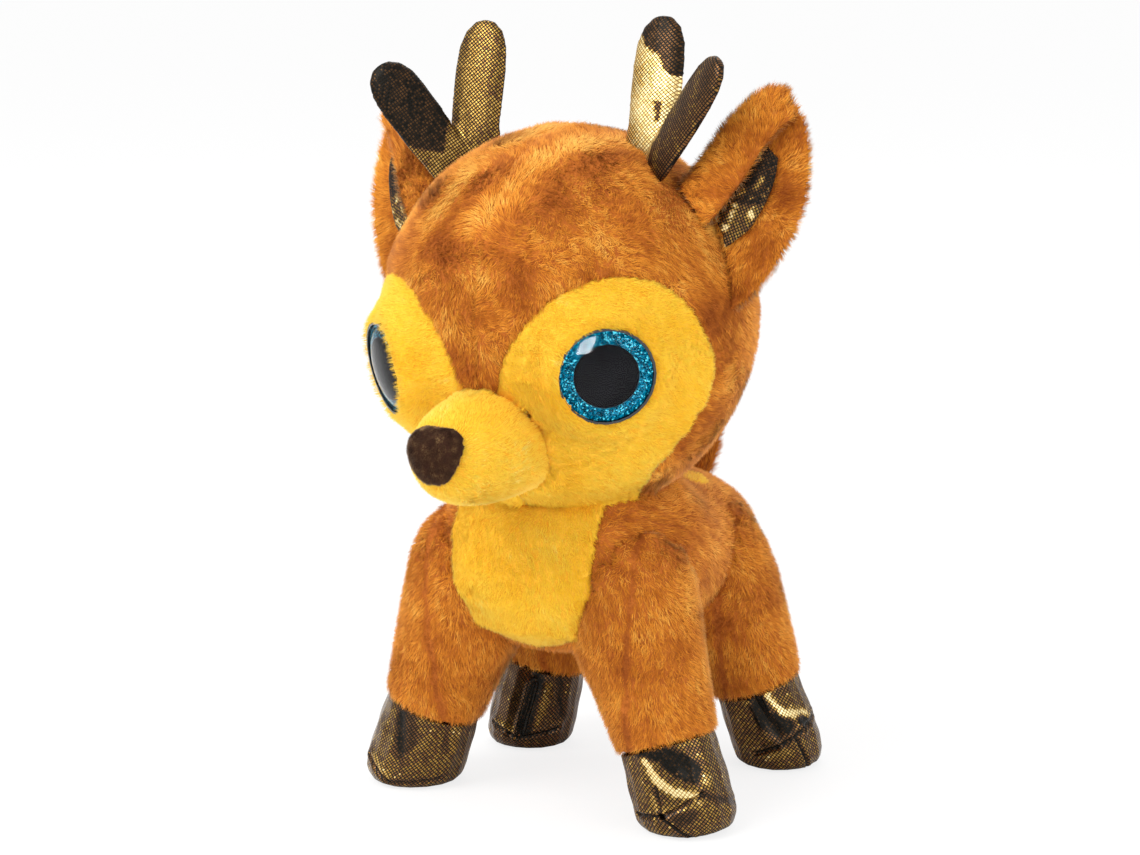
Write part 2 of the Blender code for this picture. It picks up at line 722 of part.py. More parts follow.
def ear_axes(side):
    """The ear plane's frame: origin at the base's top, X down the base, Y up to the tip's level."""
    top, bottom, tip = (Vector(p) for p in (EAR_BASE_TOP, EAR_BASE_BOTTOM, EAR_TIP))
    across = (bottom - top).normalized()
    rise = (tip - top) - across * (tip - top).dot(across)
    up = rise.normalized()
    normal = across.cross(up)
    if side < 0:
        top, across, up, normal = (mirror_x(v) for v in (top, across, up, normal))
    forward = normal if normal.y < 0 else -normal
    return top, across * (bottom - Vector(EAR_BASE_TOP)).length, up * rise.length, forward


def ear_sheet(side, sections):
    """Rows of points over the folded ear: from the front edge, round the crease, to the rear edge."""
    top, across, up, forward = ear_axes(side)
    runs = [
        [top + across * p.x + up * p.y for p in smooth_run([(a, b, 0) for a, b in table], sections)]
        for table in (EAR_FRONT_SHARES, EAR_CREASE_SHARES, EAR_REAR_SHARES)
    ]
    rows = []
    for k, (front, crease, rear) in enumerate(zip(*runs)):
        share = k / (sections - 1)
        radius = EAR_FOLD / 2 * (1 - (1 - EAR_FOLD_TIP_SHARE) * share)
        row = []
        for flap in reversed(EAR_FLAP_SHARES):
            start = crease + (front - crease).normalized() * radius
            row.append(start.lerp(front, flap) + forward * 2 * radius)
        for turn in range(EAR_TURNS):
            angle = math.pi * turn / (EAR_TURNS - 1) - math.pi / 2
            inward = (front.lerp(rear, turn / (EAR_TURNS - 1)) - crease).normalized()
            row.append(
                crease + inward * radius * (1 - math.cos(angle)) + forward * radius * (1 - math.sin(angle))
            )
        for flap in EAR_FLAP_SHARES:
            start = crease + (rear - crease).normalized() * radius
            cup = EAR_CUP_SHARE * 2 * radius * flap ** 2
            row.append(start.lerp(rear, flap) + forward * cup)
        rows.append(row)
    return rows, forward


def thicken(name, rows, wall, finish, frame):
    """A sheet of points made a closed solid by Solidify, half of the wall on each side."""
    form = bmesh.new()
    grid = [[form.verts.new(p) for p in row] for row in rows]
    for low, high in zip(grid, grid[1:]):
        for i in range(len(low) - 1):
            form.faces.new((low[i], low[i + 1], high[i + 1], high[i]))
    mesh = bpy.data.meshes.new(name)
    form.to_mesh(mesh)
    form.free()
    piece = bpy.data.objects.new(name, mesh)
    bpy.context.scene.collection.objects.link(piece)
    piece.parent = frame
    solidify = piece.modifiers.new("wall", "SOLIDIFY")
    solidify.thickness = wall
    solidify.offset = 0
    solidify.use_even_offset = True
    bpy.context.view_layer.update()
    graph = bpy.context.evaluated_depsgraph_get()
    solid = bpy.data.meshes.new_from_object(piece.evaluated_get(graph))
    form = bmesh.new()
    form.from_mesh(solid)
    bpy.data.objects.remove(piece)
    return new_object(name, form, finish, frame)


def ear_lining_rows(side, sections):
    """Rows of points over the inner part of the rear wing, in front of its face."""
    top, across, up, forward = ear_axes(side)
    crease_run, rear_run = (
        [top + across * p.x + up * p.y for p in smooth_run([(a, b, 0) for a, b in table], sections)]
        for table in (EAR_CREASE_SHARES, EAR_REAR_SHARES)
    )
    offset = EAR_WALL / 2 + SEAM_GAP + EAR_LINING_WALL / 2
    rows = []
    for k, (crease, rear) in enumerate(zip(crease_run, rear_run)):
        share = k / (sections - 1)
        if share > EAR_LINING_TOP_SHARE:
            break
        radius = EAR_FOLD / 2 * (1 - (1 - EAR_FOLD_TIP_SHARE) * share)
        start = crease + (rear - crease).normalized() * radius
        row = []
        for i in range(5):
            flap = EAR_LINING_REACH_SHARE * (1 + i * 3) / 13 * (1 - EAR_LINING_TAPER_SHARE * share)
            cup = EAR_CUP_SHARE * 2 * radius * flap ** 2
            row.append(start.lerp(rear, flap) + forward * (cup + offset))
        rows.append(row)
    return rows


def ear_hinge(side):
    """A point and the direction of the ear's seam; turning about it swings the tip back."""
    top, across, up, _ = ear_axes(side)
    return top + across / 2 + up * EAR_SEAM_SHARE, across.normalized() * -side


def build_ear(side, word, frame):
    """A folded plush leaf with a narrow foil lining in its fold."""
    rows, forward = ear_sheet(side, EAR_SECTIONS)
    ear = thicken(f"ear_cover_{word}", rows, EAR_WALL, BROWN_PLUSH, frame)
    room = thicken("ear_room_tool", rows, EAR_WALL + 2 * SEAM_GAP, None, frame)
    lining = thicken(
        f"ear_lining_{word}", ear_lining_rows(side, EAR_SECTIONS + 2), EAR_LINING_WALL, FOIL_CLOTH, frame,
    )
    hinge, axis = ear_hinge(side)
    head = head_egg("head_tool", SEAM_GAP, frame, HEAD_SEGMENTS, HEAD_RINGS)
    if side < 0:
        turn = Matrix.Rotation(math.radians(EAR_RIGHT_SWING_DEG), 4, axis)
        swing = Matrix.Translation(hinge) @ turn @ Matrix.Translation(-hinge)
        for piece in (ear, lining, room):
            piece.data.transform(swing)
    for piece in (ear, lining):
        clear_of(piece, head, hinge, axis, EAR_SWING_DEG[side])
    boolean(lining, room)
    for piece in (ear, lining):
        keep_largest(piece)
        set_origin(piece, hinge)
    remove(head, room)


def finger(name, length, half_width, half_thickness, shares, place, parent, segments, finish=None):
    """A flat padded finger along its own Z, closed at its tip."""
    loops = []
    for height, size in shares:
        loops.append([
            Vector((
                half_width * size * math.cos(angle),
                half_thickness * size ** 0.6 * math.sin(angle),
                length * height,
            ))
            for angle in steps(segments)
        ])
    loops.append([Vector((0, 0, length))])
    return new_object(name, skin(loops), finish, parent, place)


def mirrored(place):
    flip = Matrix.Diagonal((-1, 1, 1, 1))
    return flip @ place @ flip


def build_antler(side, word, frame):
    """Two flat padded prongs joined at the root, the outer one folded forward."""
    lean = Matrix.Rotation(math.radians(-ANTLER_LEAN_DEG), 4, "X")
    place = Matrix.Translation(ANTLER_BASE) @ lean
    z = Vector(PRONG_DIRECTION_SHARES).normalized()
    across = Vector(PRONG_ACROSS_SHARES)
    x = (across - z * across.dot(z)).normalized()
    turn = Matrix((x, z.cross(x), z)).transposed().to_4x4()
    prong_place = Matrix.Translation(PRONG_ROOT) @ turn
    hinge, axis = Vector(ANTLER_BASE), Vector((-1, 0, 0))
    if side < 0:
        place, prong_place, hinge = mirrored(place), mirrored(prong_place), mirror_x(hinge)
    antler = finger(
        f"antler_{word}", ANTLER_LENGTH, ANTLER_HALF_WIDTH, ANTLER_HALF_THICKNESS,
        ANTLER_WIDTH_SHARES, place, frame, ANTLER_SEGMENTS, FOIL_CLOTH,
    )
    prong = finger(
        "prong_tool", PRONG_LENGTH, PRONG_HALF_WIDTH, ANTLER_HALF_THICKNESS,
        ANTLER_WIDTH_SHARES, prong_place, frame, ANTLER_SEGMENTS,
    )
    boolean(antler, prong, "UNION")
    head = head_egg("head_tool", SEAM_GAP, frame, HEAD_SEGMENTS, HEAD_RINGS)
    clear_of(antler, head, hinge, axis, (ANTLER_FORWARD_DEG, ANTLER_BACK_DEG))
    keep_largest(antler)
    set_origin(antler, hinge)
    remove(prong, head)


def keep_largest(piece):
    """Drop the crumbs that a cut leaves beside the main body."""
    form = bmesh.new()
    form.from_mesh(piece.data)
    left = set(form.faces)
    bodies = []
    while left:
        front = [left.pop()]
        body = list(front)
        while front:
            face = front.pop()
            for edge in face.edges:
                for other in edge.link_faces:
                    if other in left:
                        left.discard(other)
                        front.append(other)
                        body.append(other)
        bodies.append(body)
    bodies.sort(key=lambda body: -sum(face.calc_area() for face in body))
    crumbs = [face for body in bodies[1:] for face in body]
    bmesh.ops.delete(form, geom=crumbs, context="FACES")
    form.to_mesh(piece.data)
    form.free()


# Trunk


def trunk_station(share_pair):
    return TRUNK_FRONT + TRUNK_LENGTH * share_pair[0], TRUNK_LOW + TRUNK_HEIGHT * share_pair[1]


def trunk_form(name, offset, finish=None):
    """The trunk, ring by ring from the neck over to the rump, grown by an offset."""
    table = zip(TRUNK_BACK_SHARES, TRUNK_BELLY_SHARES, TRUNK_WIDTH_SHARES)
    back_run, belly_run = [], []
    for back, belly, width in table:
        back_run.append((TRUNK_HALF_WIDTH * width, *trunk_station(back)))
        belly_run.append((0, *trunk_station(belly)))
    loops = []
    for back, belly in zip(smooth_run(back_run, TRUNK_RINGS), smooth_run(belly_run, TRUNK_RINGS)):
        half_width = back.x + offset
        upper, lower = Vector((0, back.y, back.z)), Vector((0, belly.y, belly.z))
        middle, reach = (upper + lower) / 2, (upper - lower) / 2
        reach = reach.normalized() * (reach.length + offset)
        loop = []
        for angle in steps(TRUNK_SEGMENTS):
            across, upward = superellipse(angle, TRUNK_POWER)
            loop.append(middle + Vector((half_width * across, 0, 0)) + reach * upward)
        loops.append(loop)
    middle = sum(loops[-1], Vector()) / TRUNK_SEGMENTS
    loops.append([middle + Vector((0, TRUNK_RUMP + offset, 0))])
    return new_object(name, skin(loops), finish)


def neck_tool(frame, level):
    """All that is above a level of the head's frame."""
    wide = HEAD_HALF_WIDTH + OVERRUN
    return box("neck_tool", (-wide, -wide, level), (wide, wide, HEAD_ABOVE), frame)


def build_trunk(frame):
    """Body covers left and right with a chest panel between them, over one stuffing."""
    wide = TRUNK_HALF_WIDTH + OVERRUN
    cover = trunk_form("cover_tool", 0)
    hollow = trunk_form("hollow_tool", -COVER_WALL)
    neck = neck_tool(frame, -NECK_DROP - SEAM_GAP)
    boolean(cover, hollow)
    boolean(cover, neck)
    standing = Matrix(((1, 0, 0, 0), (0, 0, -1, 0), (0, 1, 0, 0), (0, 0, 0, 1)))
    side_run = [(p.x, p.y) for p in smooth_run([(a, b, 0) for a, b in CHEST_SHARES], 2 * len(CHEST_SHARES))]
    loop = side_run + [(-a, b) for a, b in reversed(side_run[:-1])]
    tall = CHEST_TOP - CHEST_LOW
    outline = [Vector((CHEST_HALF_WIDTH * a, CHEST_LOW + tall * b)) for a, b in loop]
    reach = (-CHEST_BACK, -TRUNK_FRONT + OVERRUN)
    panel_tool = prism("panel_tool", outline, standing, *reach)
    hole_tool = prism("hole_tool", grow(outline, SEAM_GAP), standing, *reach)
    half = SEAM_GAP / 2
    for side, word in ((1, "left"), (-1, "right")):
        near, far = (half, wide) if side > 0 else (-wide, -half)
        side_box = box("side_tool", (near, -TRUNK_LENGTH, 0), (far, TRUNK_LENGTH, TRUNK_LENGTH))
        brown = copy_of(cover, f"body_cover_{word}", BROWN_PLUSH)
        boolean(brown, side_box, "INTERSECT")
        boolean(brown, hole_tool)
        keep_largest(brown)
        remove(side_box)
    chest = copy_of(cover, "chest_panel", YELLOW_PLUSH)
    boolean(chest, panel_tool, "INTERSECT")
    keep_largest(chest)
    fill = trunk_form("body_fill", -COVER_WALL - SEAM_GAP, STUFFING)
    boolean(fill, neck)
    remove(cover, hollow, neck, panel_tool, hole_tool)


# Legs, each along its own axis from the sole up into the trunk


def leg_place(foot, hip):
    return frame_facing(foot, Vector(hip) - Vector(foot), (0, 1, 0))


def limb(name, rows, tip, place, finish=None):
    """A closed form over rows of height, half width and half depth, with or without a pointed top."""
    loops = [
        [
            Vector((half_width * math.cos(angle), half_depth * math.sin(angle), height))
            for angle in steps(LIMB_SEGMENTS)
        ]
        for height, half_width, half_depth in rows
    ]
    if tip:
        loops.append([Vector((0, 0, tip))])
    return new_object(name, skin(loops), finish, None, place)


def leg_inside(sleeve_rows, hoof_half_width, offset):
    """Rows of the space inside the hoof and the sleeve, shrunk by an offset."""
    rows = []
    for height, size in STUFFING_TOE_SHARES:
        radius = hoof_half_width * size - COVER_WALL - offset
        rows.append((HOOF_HEIGHT * height + offset, radius, radius))
    for height, half_width, half_depth in sleeve_rows[1:]:
        rows.append((height, half_width - COVER_WALL - offset, half_depth - COVER_WALL - offset))
    return rows


def build_leg(word, foot, hip, half_width, shares, hoof_half_width):
    """A plush sleeve down to the hem, a foil hoof below it and the stuffing in both."""
    place = leg_place(foot, hip)
    length = (Vector(hip) - Vector(foot)).length
    sleeve_rows = [
        (length * height, half_width * wide, half_width * deep) for height, wide, deep in shares
    ]
    sleeve_rows[0] = (HOOF_HEIGHT + SEAM_GAP, *sleeve_rows[0][1:])
    tip = length * LEG_TIP_SHARE
    hoof_rows = [
        (HOOF_HEIGHT * height, hoof_half_width * size, hoof_half_width * size)
        for height, size in HOOF_TOE_SHARES
    ]
    trunk = trunk_form("trunk_tool", SEAM_GAP)
    wide = TRUNK_LENGTH
    floor = box("floor_tool", (-wide, -wide, -wide), (wide, wide, 0))
    inside = limb("inside_tool", leg_inside(sleeve_rows, hoof_half_width, 0), tip - COVER_WALL, place)
    sleeve = limb(f"leg_{word}", sleeve_rows, tip, place, BROWN_PLUSH)
    hoof = limb(f"hoof_{word}", hoof_rows, None, place, FOIL_CLOTH)
    fill = limb(
        f"leg_fill_{word}", leg_inside(sleeve_rows, hoof_half_width, SEAM_GAP),
        tip - COVER_WALL - SEAM_GAP, place, STUFFING,
    )
    boolean(sleeve, inside)
    boolean(sleeve, trunk)
    boolean(hoof, inside)
    boolean(hoof, floor)
    boolean(fill, trunk)
    for piece in (sleeve, hoof, fill):
        keep_largest(piece)
    remove(trunk, floor, inside)


def build_tail():
    """A small flat plush leaf that stands on the rump."""
    root = Vector((0, *trunk_station(TAIL_ROOT_SHARES)))
    place = Matrix.Translation(root) @ Matrix.Rotation(math.radians(-TAIL_LEAN_DEG), 4, "X")
    tail = finger(
        "tail", TAIL_LENGTH, TAIL_HALF_WIDTH, TAIL_HALF_THICKNESS, TAIL_WIDTH_SHARES,
        place, None, ANTLER_SEGMENTS, BROWN_PLUSH,
    )
    trunk = trunk_form("trunk_tool", SEAM_GAP)
    clear_of(tail, trunk, root, (-1, 0, 0), (TAIL_UP_DEG, TAIL_DOWN_DEG))
    keep_largest(tail)
    set_origin(tail, root)
    remove(trunk)


def build_spot(side, word):
    """A thin oval patch that lies on the back."""
    spot = trunk_form(f"back_spot_{word}", SEAM_GAP + SPOT_THICKNESS, YELLOW_PLUSH)
    outline = [
        Vector((SPOT_HALF_WIDTH * math.cos(angle), SPOT_HALF_LENGTH * math.sin(angle)))
        for angle in steps(LIMB_SEGMENTS)
    ]
    place = Matrix.Translation((side * SPOT_SIDE, TRUNK_FRONT + TRUNK_LENGTH * SPOT_BACK_SHARE, 0))
    post = prism("post_tool", outline, place, TRUNK_LOW + TRUNK_HEIGHT / 2, TRUNK_LOW + TRUNK_HEIGHT + OVERRUN)
    trunk = trunk_form("trunk_tool", SEAM_GAP)
    boolean(spot, post, "INTERSECT")
    boolean(spot, trunk)
    keep_largest(spot)
    remove(post, trunk)


def settle():
    """Stand the fawn with its middle over the origin and its soles on the floor."""
    bpy.context.view_layer.update()
    corners = []
    for piece in bpy.data.objects:
        if piece.type == "MESH":
            piece.data.shade_smooth()
            piece.data.set_sharp_from_angle(angle=math.radians(40))
            corners += [piece.matrix_world @ vertex.co for vertex in piece.data.vertices]
    low = [min(corner[i] for corner in corners) for i in range(3)]
    high = [max(corner[i] for corner in corners) for i in range(3)]
    shift = Vector((-(low[0] + high[0]) / 2, -(low[1] + high[1]) / 2, -low[2]))
    for piece in bpy.data.objects:
        if piece.parent is None:
            piece.matrix_local = Matrix.Translation(shift) @ piece.matrix_local
    bpy.context.view_layer.update()
    print("shift", [round(value, 6) for value in shift])
    print("size", [round(high[i] - low[i], 5) for i in range(3)])
    return shift


def report_hinges(frame):
    """Print each hinge's place and axis, and each sole's middle, for the record."""
    hinges = []
    for side, word in ((1, "left"), (-1, "right")):
        turn = frame.matrix_world.to_3x3()
        hinges.append((f"ear_cover_{word}", turn @ ear_hinge(side)[1]))
        hinges.append((f"antler_{word}", turn @ Vector((-1, 0, 0))))
    hinges.append(("tail", Vector((-1, 0, 0))))
    for name, axis in hinges:
        place = bpy.data.objects[name].matrix_world.translation
        print(name, [round(value, 5) for value in place], [round(value, 5) for value in axis])
    for word in LEG_WORDS:
        hoof = bpy.data.objects[f"hoof_{word}"]
        sole = [hoof.matrix_world @ v.co for v in hoof.data.vertices]
        sole = [p for p in sole if p.z < SEAM_GAP / 10]
        middle = sum(sole, Vector()) / len(sole)
        print(f"hoof_{word} sole", [round(value, 5) for value in middle], len(sole))


LEG_WORDS = ("front_left", "front_right", "hind_left", "hind_right")


def build_fawn():
    tilt = Matrix.Rotation(math.radians(HEAD_TILT_DEG), 4, "Y")
    frame = new_frame("head_frame", Matrix.Translation(HEAD_CENTRE) @ tilt)
    build_head(frame)
    for side, word in ((1, "left"), (-1, "right")):
        build_eye(side, word, frame)
        build_ear(side, word, frame)
        build_antler(side, word, frame)
        build_spot(side, word)
    build_trunk(frame)
    feet = (FRONT_LEFT_FOOT, FRONT_RIGHT_FOOT, HIND_LEFT_FOOT, HIND_RIGHT_FOOT)
    for word, foot in zip(LEG_WORDS, feet):
        front = word.startswith("front")
        hip = Vector(FRONT_HIP if front else HIND_HIP)
        if foot[0] < 0:
            hip = mirror_x(hip)
        if front:
            build_leg(word, foot, hip, FRONT_LEG_HALF_WIDTH, FRONT_LEG_SHARES, FRONT_HOOF_HALF_WIDTH)
        else:
            build_leg(word, foot, hip, HIND_LEG_HALF_WIDTH, HIND_LEG_SHARES, HIND_HOOF_HALF_WIDTH)
    build_tail()
    settle()
    report_hinges(frame)


clear_scene()
build_fawn()
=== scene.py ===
# %% [markdown]
# A small plush fawn stands on four foil hooves. The hard facts of it, such as sizes, seams and hinges,
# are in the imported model, so the lesson starts by loading that and measuring it. Every new piece is
# then made round a packed one and takes its place.

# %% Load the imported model
import json
import math
from collections import namedtuple
from contextlib import contextmanager

import bmesh
import bpy
import numpy as np
from mathutils import Matrix, Vector
from mathutils.bvhtree import BVHTree

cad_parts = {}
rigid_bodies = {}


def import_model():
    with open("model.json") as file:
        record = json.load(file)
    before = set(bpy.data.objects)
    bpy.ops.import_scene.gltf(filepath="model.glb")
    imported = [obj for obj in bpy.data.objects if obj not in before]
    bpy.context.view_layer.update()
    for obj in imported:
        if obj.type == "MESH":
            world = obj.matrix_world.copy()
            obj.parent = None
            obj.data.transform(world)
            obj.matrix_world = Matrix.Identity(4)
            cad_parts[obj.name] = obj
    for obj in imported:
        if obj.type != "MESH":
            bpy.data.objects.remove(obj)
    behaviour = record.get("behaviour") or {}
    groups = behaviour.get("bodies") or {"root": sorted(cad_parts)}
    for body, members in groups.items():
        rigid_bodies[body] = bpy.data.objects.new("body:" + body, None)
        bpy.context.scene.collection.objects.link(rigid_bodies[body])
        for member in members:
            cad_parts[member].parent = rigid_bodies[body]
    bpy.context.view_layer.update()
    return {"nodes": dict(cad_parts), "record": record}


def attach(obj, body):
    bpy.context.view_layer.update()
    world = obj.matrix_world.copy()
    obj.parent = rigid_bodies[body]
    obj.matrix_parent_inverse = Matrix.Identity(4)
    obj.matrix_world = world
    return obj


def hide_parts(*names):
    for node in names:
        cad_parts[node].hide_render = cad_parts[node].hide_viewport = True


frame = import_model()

MM = 0.001
SIDES = (("left", 1), ("right", -1))
NODES = frame["nodes"]
BODIES = frame["record"]["behaviour"]["bodies"]
BODY_OF = {node: body for body, members in BODIES.items() for node in members}


def in_mm(lengths):
    """Lengths in millimetres with one decimal, to print."""
    return [round(float(length) / MM, 1) for length in lengths]


# %% [markdown]
# The photograph was taken from a little above the toy's head and from its left, at arm's length.
# A camera is a place and three directions: its right, its up and its back. The lens is long, so the
# near hoof is only slightly bigger than the far one.

# %% Camera
AZIMUTH, ELEVATION, DISTANCE = 29, 12, 0.70
AIM = Vector((0, 0, 0.085))
AIM_SHIFT = Vector((0.001847, 0.012411, 0))
AIM_ACROSS, AIM_DOWN = 7.6 * MM, 8.4 * MM
FOCAL_PIXELS, FRAME_PIXELS, SENSOR_WIDTH = 3267, 1140, 36


def way_to(azimuth, elevation):
    """The direction from the toy to an azimuth and an elevation, in degrees."""
    side, rise = math.radians(azimuth), math.radians(elevation)
    return Vector((math.sin(side) * math.cos(rise), -math.cos(side) * math.cos(rise), math.sin(rise)))


back_way = way_to(AZIMUTH, ELEVATION)
right_way = Vector((math.cos(math.radians(AZIMUTH)), math.sin(math.radians(AZIMUTH)), 0))
up_way = back_way.cross(right_way)
look_at = AIM - right_way * AIM_ACROSS - up_way * AIM_DOWN + AIM_SHIFT

bpy.ops.object.camera_add(location=look_at + back_way * DISTANCE)
camera = bpy.context.object
camera.rotation_euler = Matrix((right_way, up_way, back_way)).transposed().to_euler()
camera.data.sensor_width = SENSOR_WIDTH
camera.data.lens = FOCAL_PIXELS / FRAME_PIXELS * SENSOR_WIDTH
bpy.context.scene.camera = camera
print("camera stands", DISTANCE, "m away, lens", round(camera.data.lens, 1), "mm")

# %% [markdown]
# Each finish is a small set of shader nodes. These helpers keep the recipes short: they start a
# material, add a node with its values, do sums on sockets, and turn the 0 to 255 numbers of a colour
# picker into the linear numbers that a shader works in.

# %% Material helpers
WHITE = (1, 1, 1, 1)


def picked(red, green, blue):
    """A colour picker's 0 to 255 numbers as a shader's linear ones."""
    channels = []
    for value in (red, green, blue):
        share = value / 255
        channels.append(share / 12.92 if share <= 0.04045 else ((share + 0.055) / 1.055) ** 2.4)
    return (*channels, 1)


def finish(name, **values):
    """A new material and its Principled shader, with values set on the shader's own sockets."""
    material = bpy.data.materials.new(name)
    material.use_nodes = True
    shader = material.node_tree.nodes["Principled BSDF"]
    for socket, value in values.items():
        shader.inputs[socket.replace("_", " ")].default_value = value
    return material, material.node_tree, shader


def add(tree, kind, links=(), **values):
    """A node with its settings, and links from other nodes' sockets to its own."""
    node = tree.nodes.new("ShaderNode" + kind)
    for key, value in values.items():
        if hasattr(node, key):
            setattr(node, key, value)
        else:
            node.inputs[key.replace("_", " ")].default_value = value
    for socket, source in links:
        tree.links.new(source, node.inputs[socket])
    return node


def link(tree, source, socket):
    """Joins an output to an input."""
    tree.links.new(source, socket)


def calc(tree, operation, *terms):
    """A sum, a product or the like of sockets and numbers."""
    node = add(tree, "Math", operation=operation)
    for socket, term in zip(node.inputs, terms):
        if isinstance(term, (int, float)):
            socket.default_value = term
        else:
            link(tree, term, socket)
    return node.outputs[0]


def remap(tree, source, low=0, high=1, start=0, end=1, **values):
    """A socket whose range from low to high becomes start to end."""
    ends = {"From_Min": low, "From_Max": high, "To_Min": start, "To_Max": end}
    node = add(tree, "MapRange", [("Value", source)], **ends, **values)
    return node.outputs["Result"]


def colour_stops(*stops):
    """Ramp stops from shares and picked colours."""
    return [(share, picked(*colour)) for share, *colour in stops]


def ramp(tree, source, *stops):
    """A colour ramp with its stops at given shares."""
    node = tree.nodes.new("ShaderNodeValToRGB")
    elements = node.color_ramp.elements
    while len(elements) < len(stops):
        elements.new(0.5)
    for element, (share, colour) in zip(elements, stops):
        element.position, element.color = share, colour
    tree.links.new(source, node.inputs["Fac"])
    return node.outputs["Color"]


def roughen(tree, shader, height, strength, distance):
    """Bumps a finish by a socket."""
    bump = add(tree, "Bump", [("Height", height)], Strength=strength, Distance=distance)
    link(tree, bump.outputs["Normal"], shader.inputs["Normal"])


def grainy(name, noise, *stops, **values):
    """A finish that wavers between colours over a noise: its material, tree, shader, place and grain."""
    material, tree, shader = finish(name, **values)
    place = add(tree, "TexCoord").outputs["Object"]
    grain = add(tree, "TexNoise", [("Vector", place)], **noise).outputs["Fac"]
    link(tree, ramp(tree, grain, *colour_stops(*stops)), shader.inputs["Base Color"])
    return material, tree, shader, place, grain


def paint(piece, material):
    """Gives a piece one material."""
    piece.data.materials.clear()
    piece.data.materials.append(material)
    for polygon in piece.data.polygons:
        polygon.material_index = 0


print("a mid grey of 128 is", round(picked(128, 128, 128)[0], 3), "in a shader")

# %% [markdown]
# The studio is a pale floor in a white room with three soft lamps. The key lamp is a large one at the
# upper left, which gives the foil its bright creases. The room itself lights all the shadows. What the
# camera sees behind the toy is plain white, and the floor keeps a faint shadow.

# %% Floor, world and lamps
ROOM_LIGHT, FLOOR_GLOW, FLOOR_SIZE = 0.92, 0.80, 6
LAMPS = (
    ("key_lamp", -28, 48, 0.80, 4.6, 0.50),
    ("fill_lamp", 75, 25, 0.90, 1.8, 0.60),
    ("rim_lamp", 205, 50, 0.90, 1.8, 0.50),
)

world = bpy.context.scene.world or bpy.data.worlds.new("room")
bpy.context.scene.world = world
world.use_nodes = True
tree = world.node_tree
room = tree.nodes["Background"]
room.inputs["Color"].default_value = WHITE
path = add(tree, "LightPath").outputs
mirrored = calc(tree, "MAXIMUM", path["Is Glossy Ray"], path["Is Transmission Ray"])
seen = calc(tree, "MAXIMUM", mirrored, path["Is Camera Ray"])
link(tree, remap(tree, seen, start=ROOM_LIGHT), room.inputs["Strength"])

bpy.ops.mesh.primitive_plane_add(size=FLOOR_SIZE, location=(0, 0, 0))
floor = bpy.context.object
floor.name = "floor"
paper, tree, sheet = finish("white_paper", Base_Color=(0.95, 0.95, 0.95, 1), Roughness=0.9)
glow = add(tree, "Emission", Color=WHITE)
share = calc(tree, "MULTIPLY", add(tree, "LightPath").outputs["Is Camera Ray"], FLOOR_GLOW)
mix = add(tree, "MixShader", [("Fac", share), (1, sheet.outputs["BSDF"]), (2, glow.outputs["Emission"])])
link(tree, mix.outputs["Shader"], tree.nodes["Material Output"].inputs["Surface"])
floor.data.materials.append(paper)


def shine_at(place, name, azimuth, elevation, distance, power, size, shape="DISK"):
    """An area lamp that shines at a place."""
    way = way_to(azimuth, elevation)
    bpy.ops.object.light_add(type="AREA", location=place + way * distance)
    lamp = bpy.context.object
    lamp.name = name
    lamp.data.shape, lamp.data.size, lamp.data.energy = shape, size, power
    lamp.rotation_euler = way.to_track_quat("Z", "Y").to_euler()
    return lamp


for lamp in LAMPS:
    shine_at(AIM, *lamp)
bpy.context.scene.view_settings.view_transform = "Standard"
print("studio:", len(LAMPS), "lamps, room light", ROOM_LIGHT)

# %% [markdown]
# The pile is made of hairs, and each hair carries its own place on a little colour chart: across is
# the hair's tone, from a dark hollow of the nap to a bright swirl, which is partly painted shade and
# light, and up is from root to tip, painted darker at the root as shade and lighter at the tip as a
# highlight. The material reads that chart, so one recipe paints every hair of a cloth. The woven
# backing under the hairs shows between them, and gets a darker tone of the same colour, painted shade
# under the hairs, with a fine weave.

# %% Plush finishes
PILE_MAP = "OFBake"


def pile_finish(name, tones, root_shade, tip_highlight, sheen, rough):
    """A hair's colour: a ramp over tone, painted darker at the root as shade and lighter at the tip as a
    highlight.
    """
    material, tree, shader = finish(
        name, Roughness=rough, Specular_IOR_Level=0.15, Sheen_Weight=0.30, Sheen_Roughness=0.45,
        Sheen_Tint=(*sheen, 1))
    chart = add(tree, "UVMap", uv_map=PILE_MAP)
    split = add(tree, "SeparateXYZ", [("Vector", chart.outputs["UV"])])
    nap_tone_and_shade = ramp(tree, split.outputs["X"], *tones)
    # Root to tip: painted shade at the root, the tone itself in the middle, a painted highlight at the tip.
    height = ramp(tree, split.outputs["Y"], (0, (*root_shade, 1)), (0.55, WHITE), (1, (*tip_highlight, 1)))
    mix = add(tree, "MixRGB", [("Color1", nap_tone_and_shade), ("Color2", height)], blend_type="MULTIPLY", Fac=1)
    link(tree, mix.outputs["Color"], shader.inputs["Base Color"])
    return material


def backing_finish(name, dark, light):
    """Knitted backing cloth: a fine weave with soft patches of tone."""
    material, tree, shader, place, grain = grainy(
        name, {"Scale": 260, "Detail": 3}, (0.3, *dark), (0.7, *light),
        Roughness=0.95, Specular_IOR_Level=0.1)
    knit = add(tree, "TexVoronoi", [("Vector", place)], Scale=2600)
    roughen(tree, shader, knit.outputs["Distance"], 0.5, 0.2 * MM)
    return material


BROWN_TONES = colour_stops((0, 146, 70, 16), (0.30, 190, 104, 26), (0.60, 230, 144, 44), (1, 255, 190, 84))
YELLOW_TONES = colour_stops((0, 255, 178, 20), (0.35, 255, 198, 40), (0.70, 255, 212, 64), (1, 255, 240, 138))
NOSE_TONES = colour_stops((0, 36, 20, 8), (0.55, 78, 52, 28), (1, 140, 108, 70))
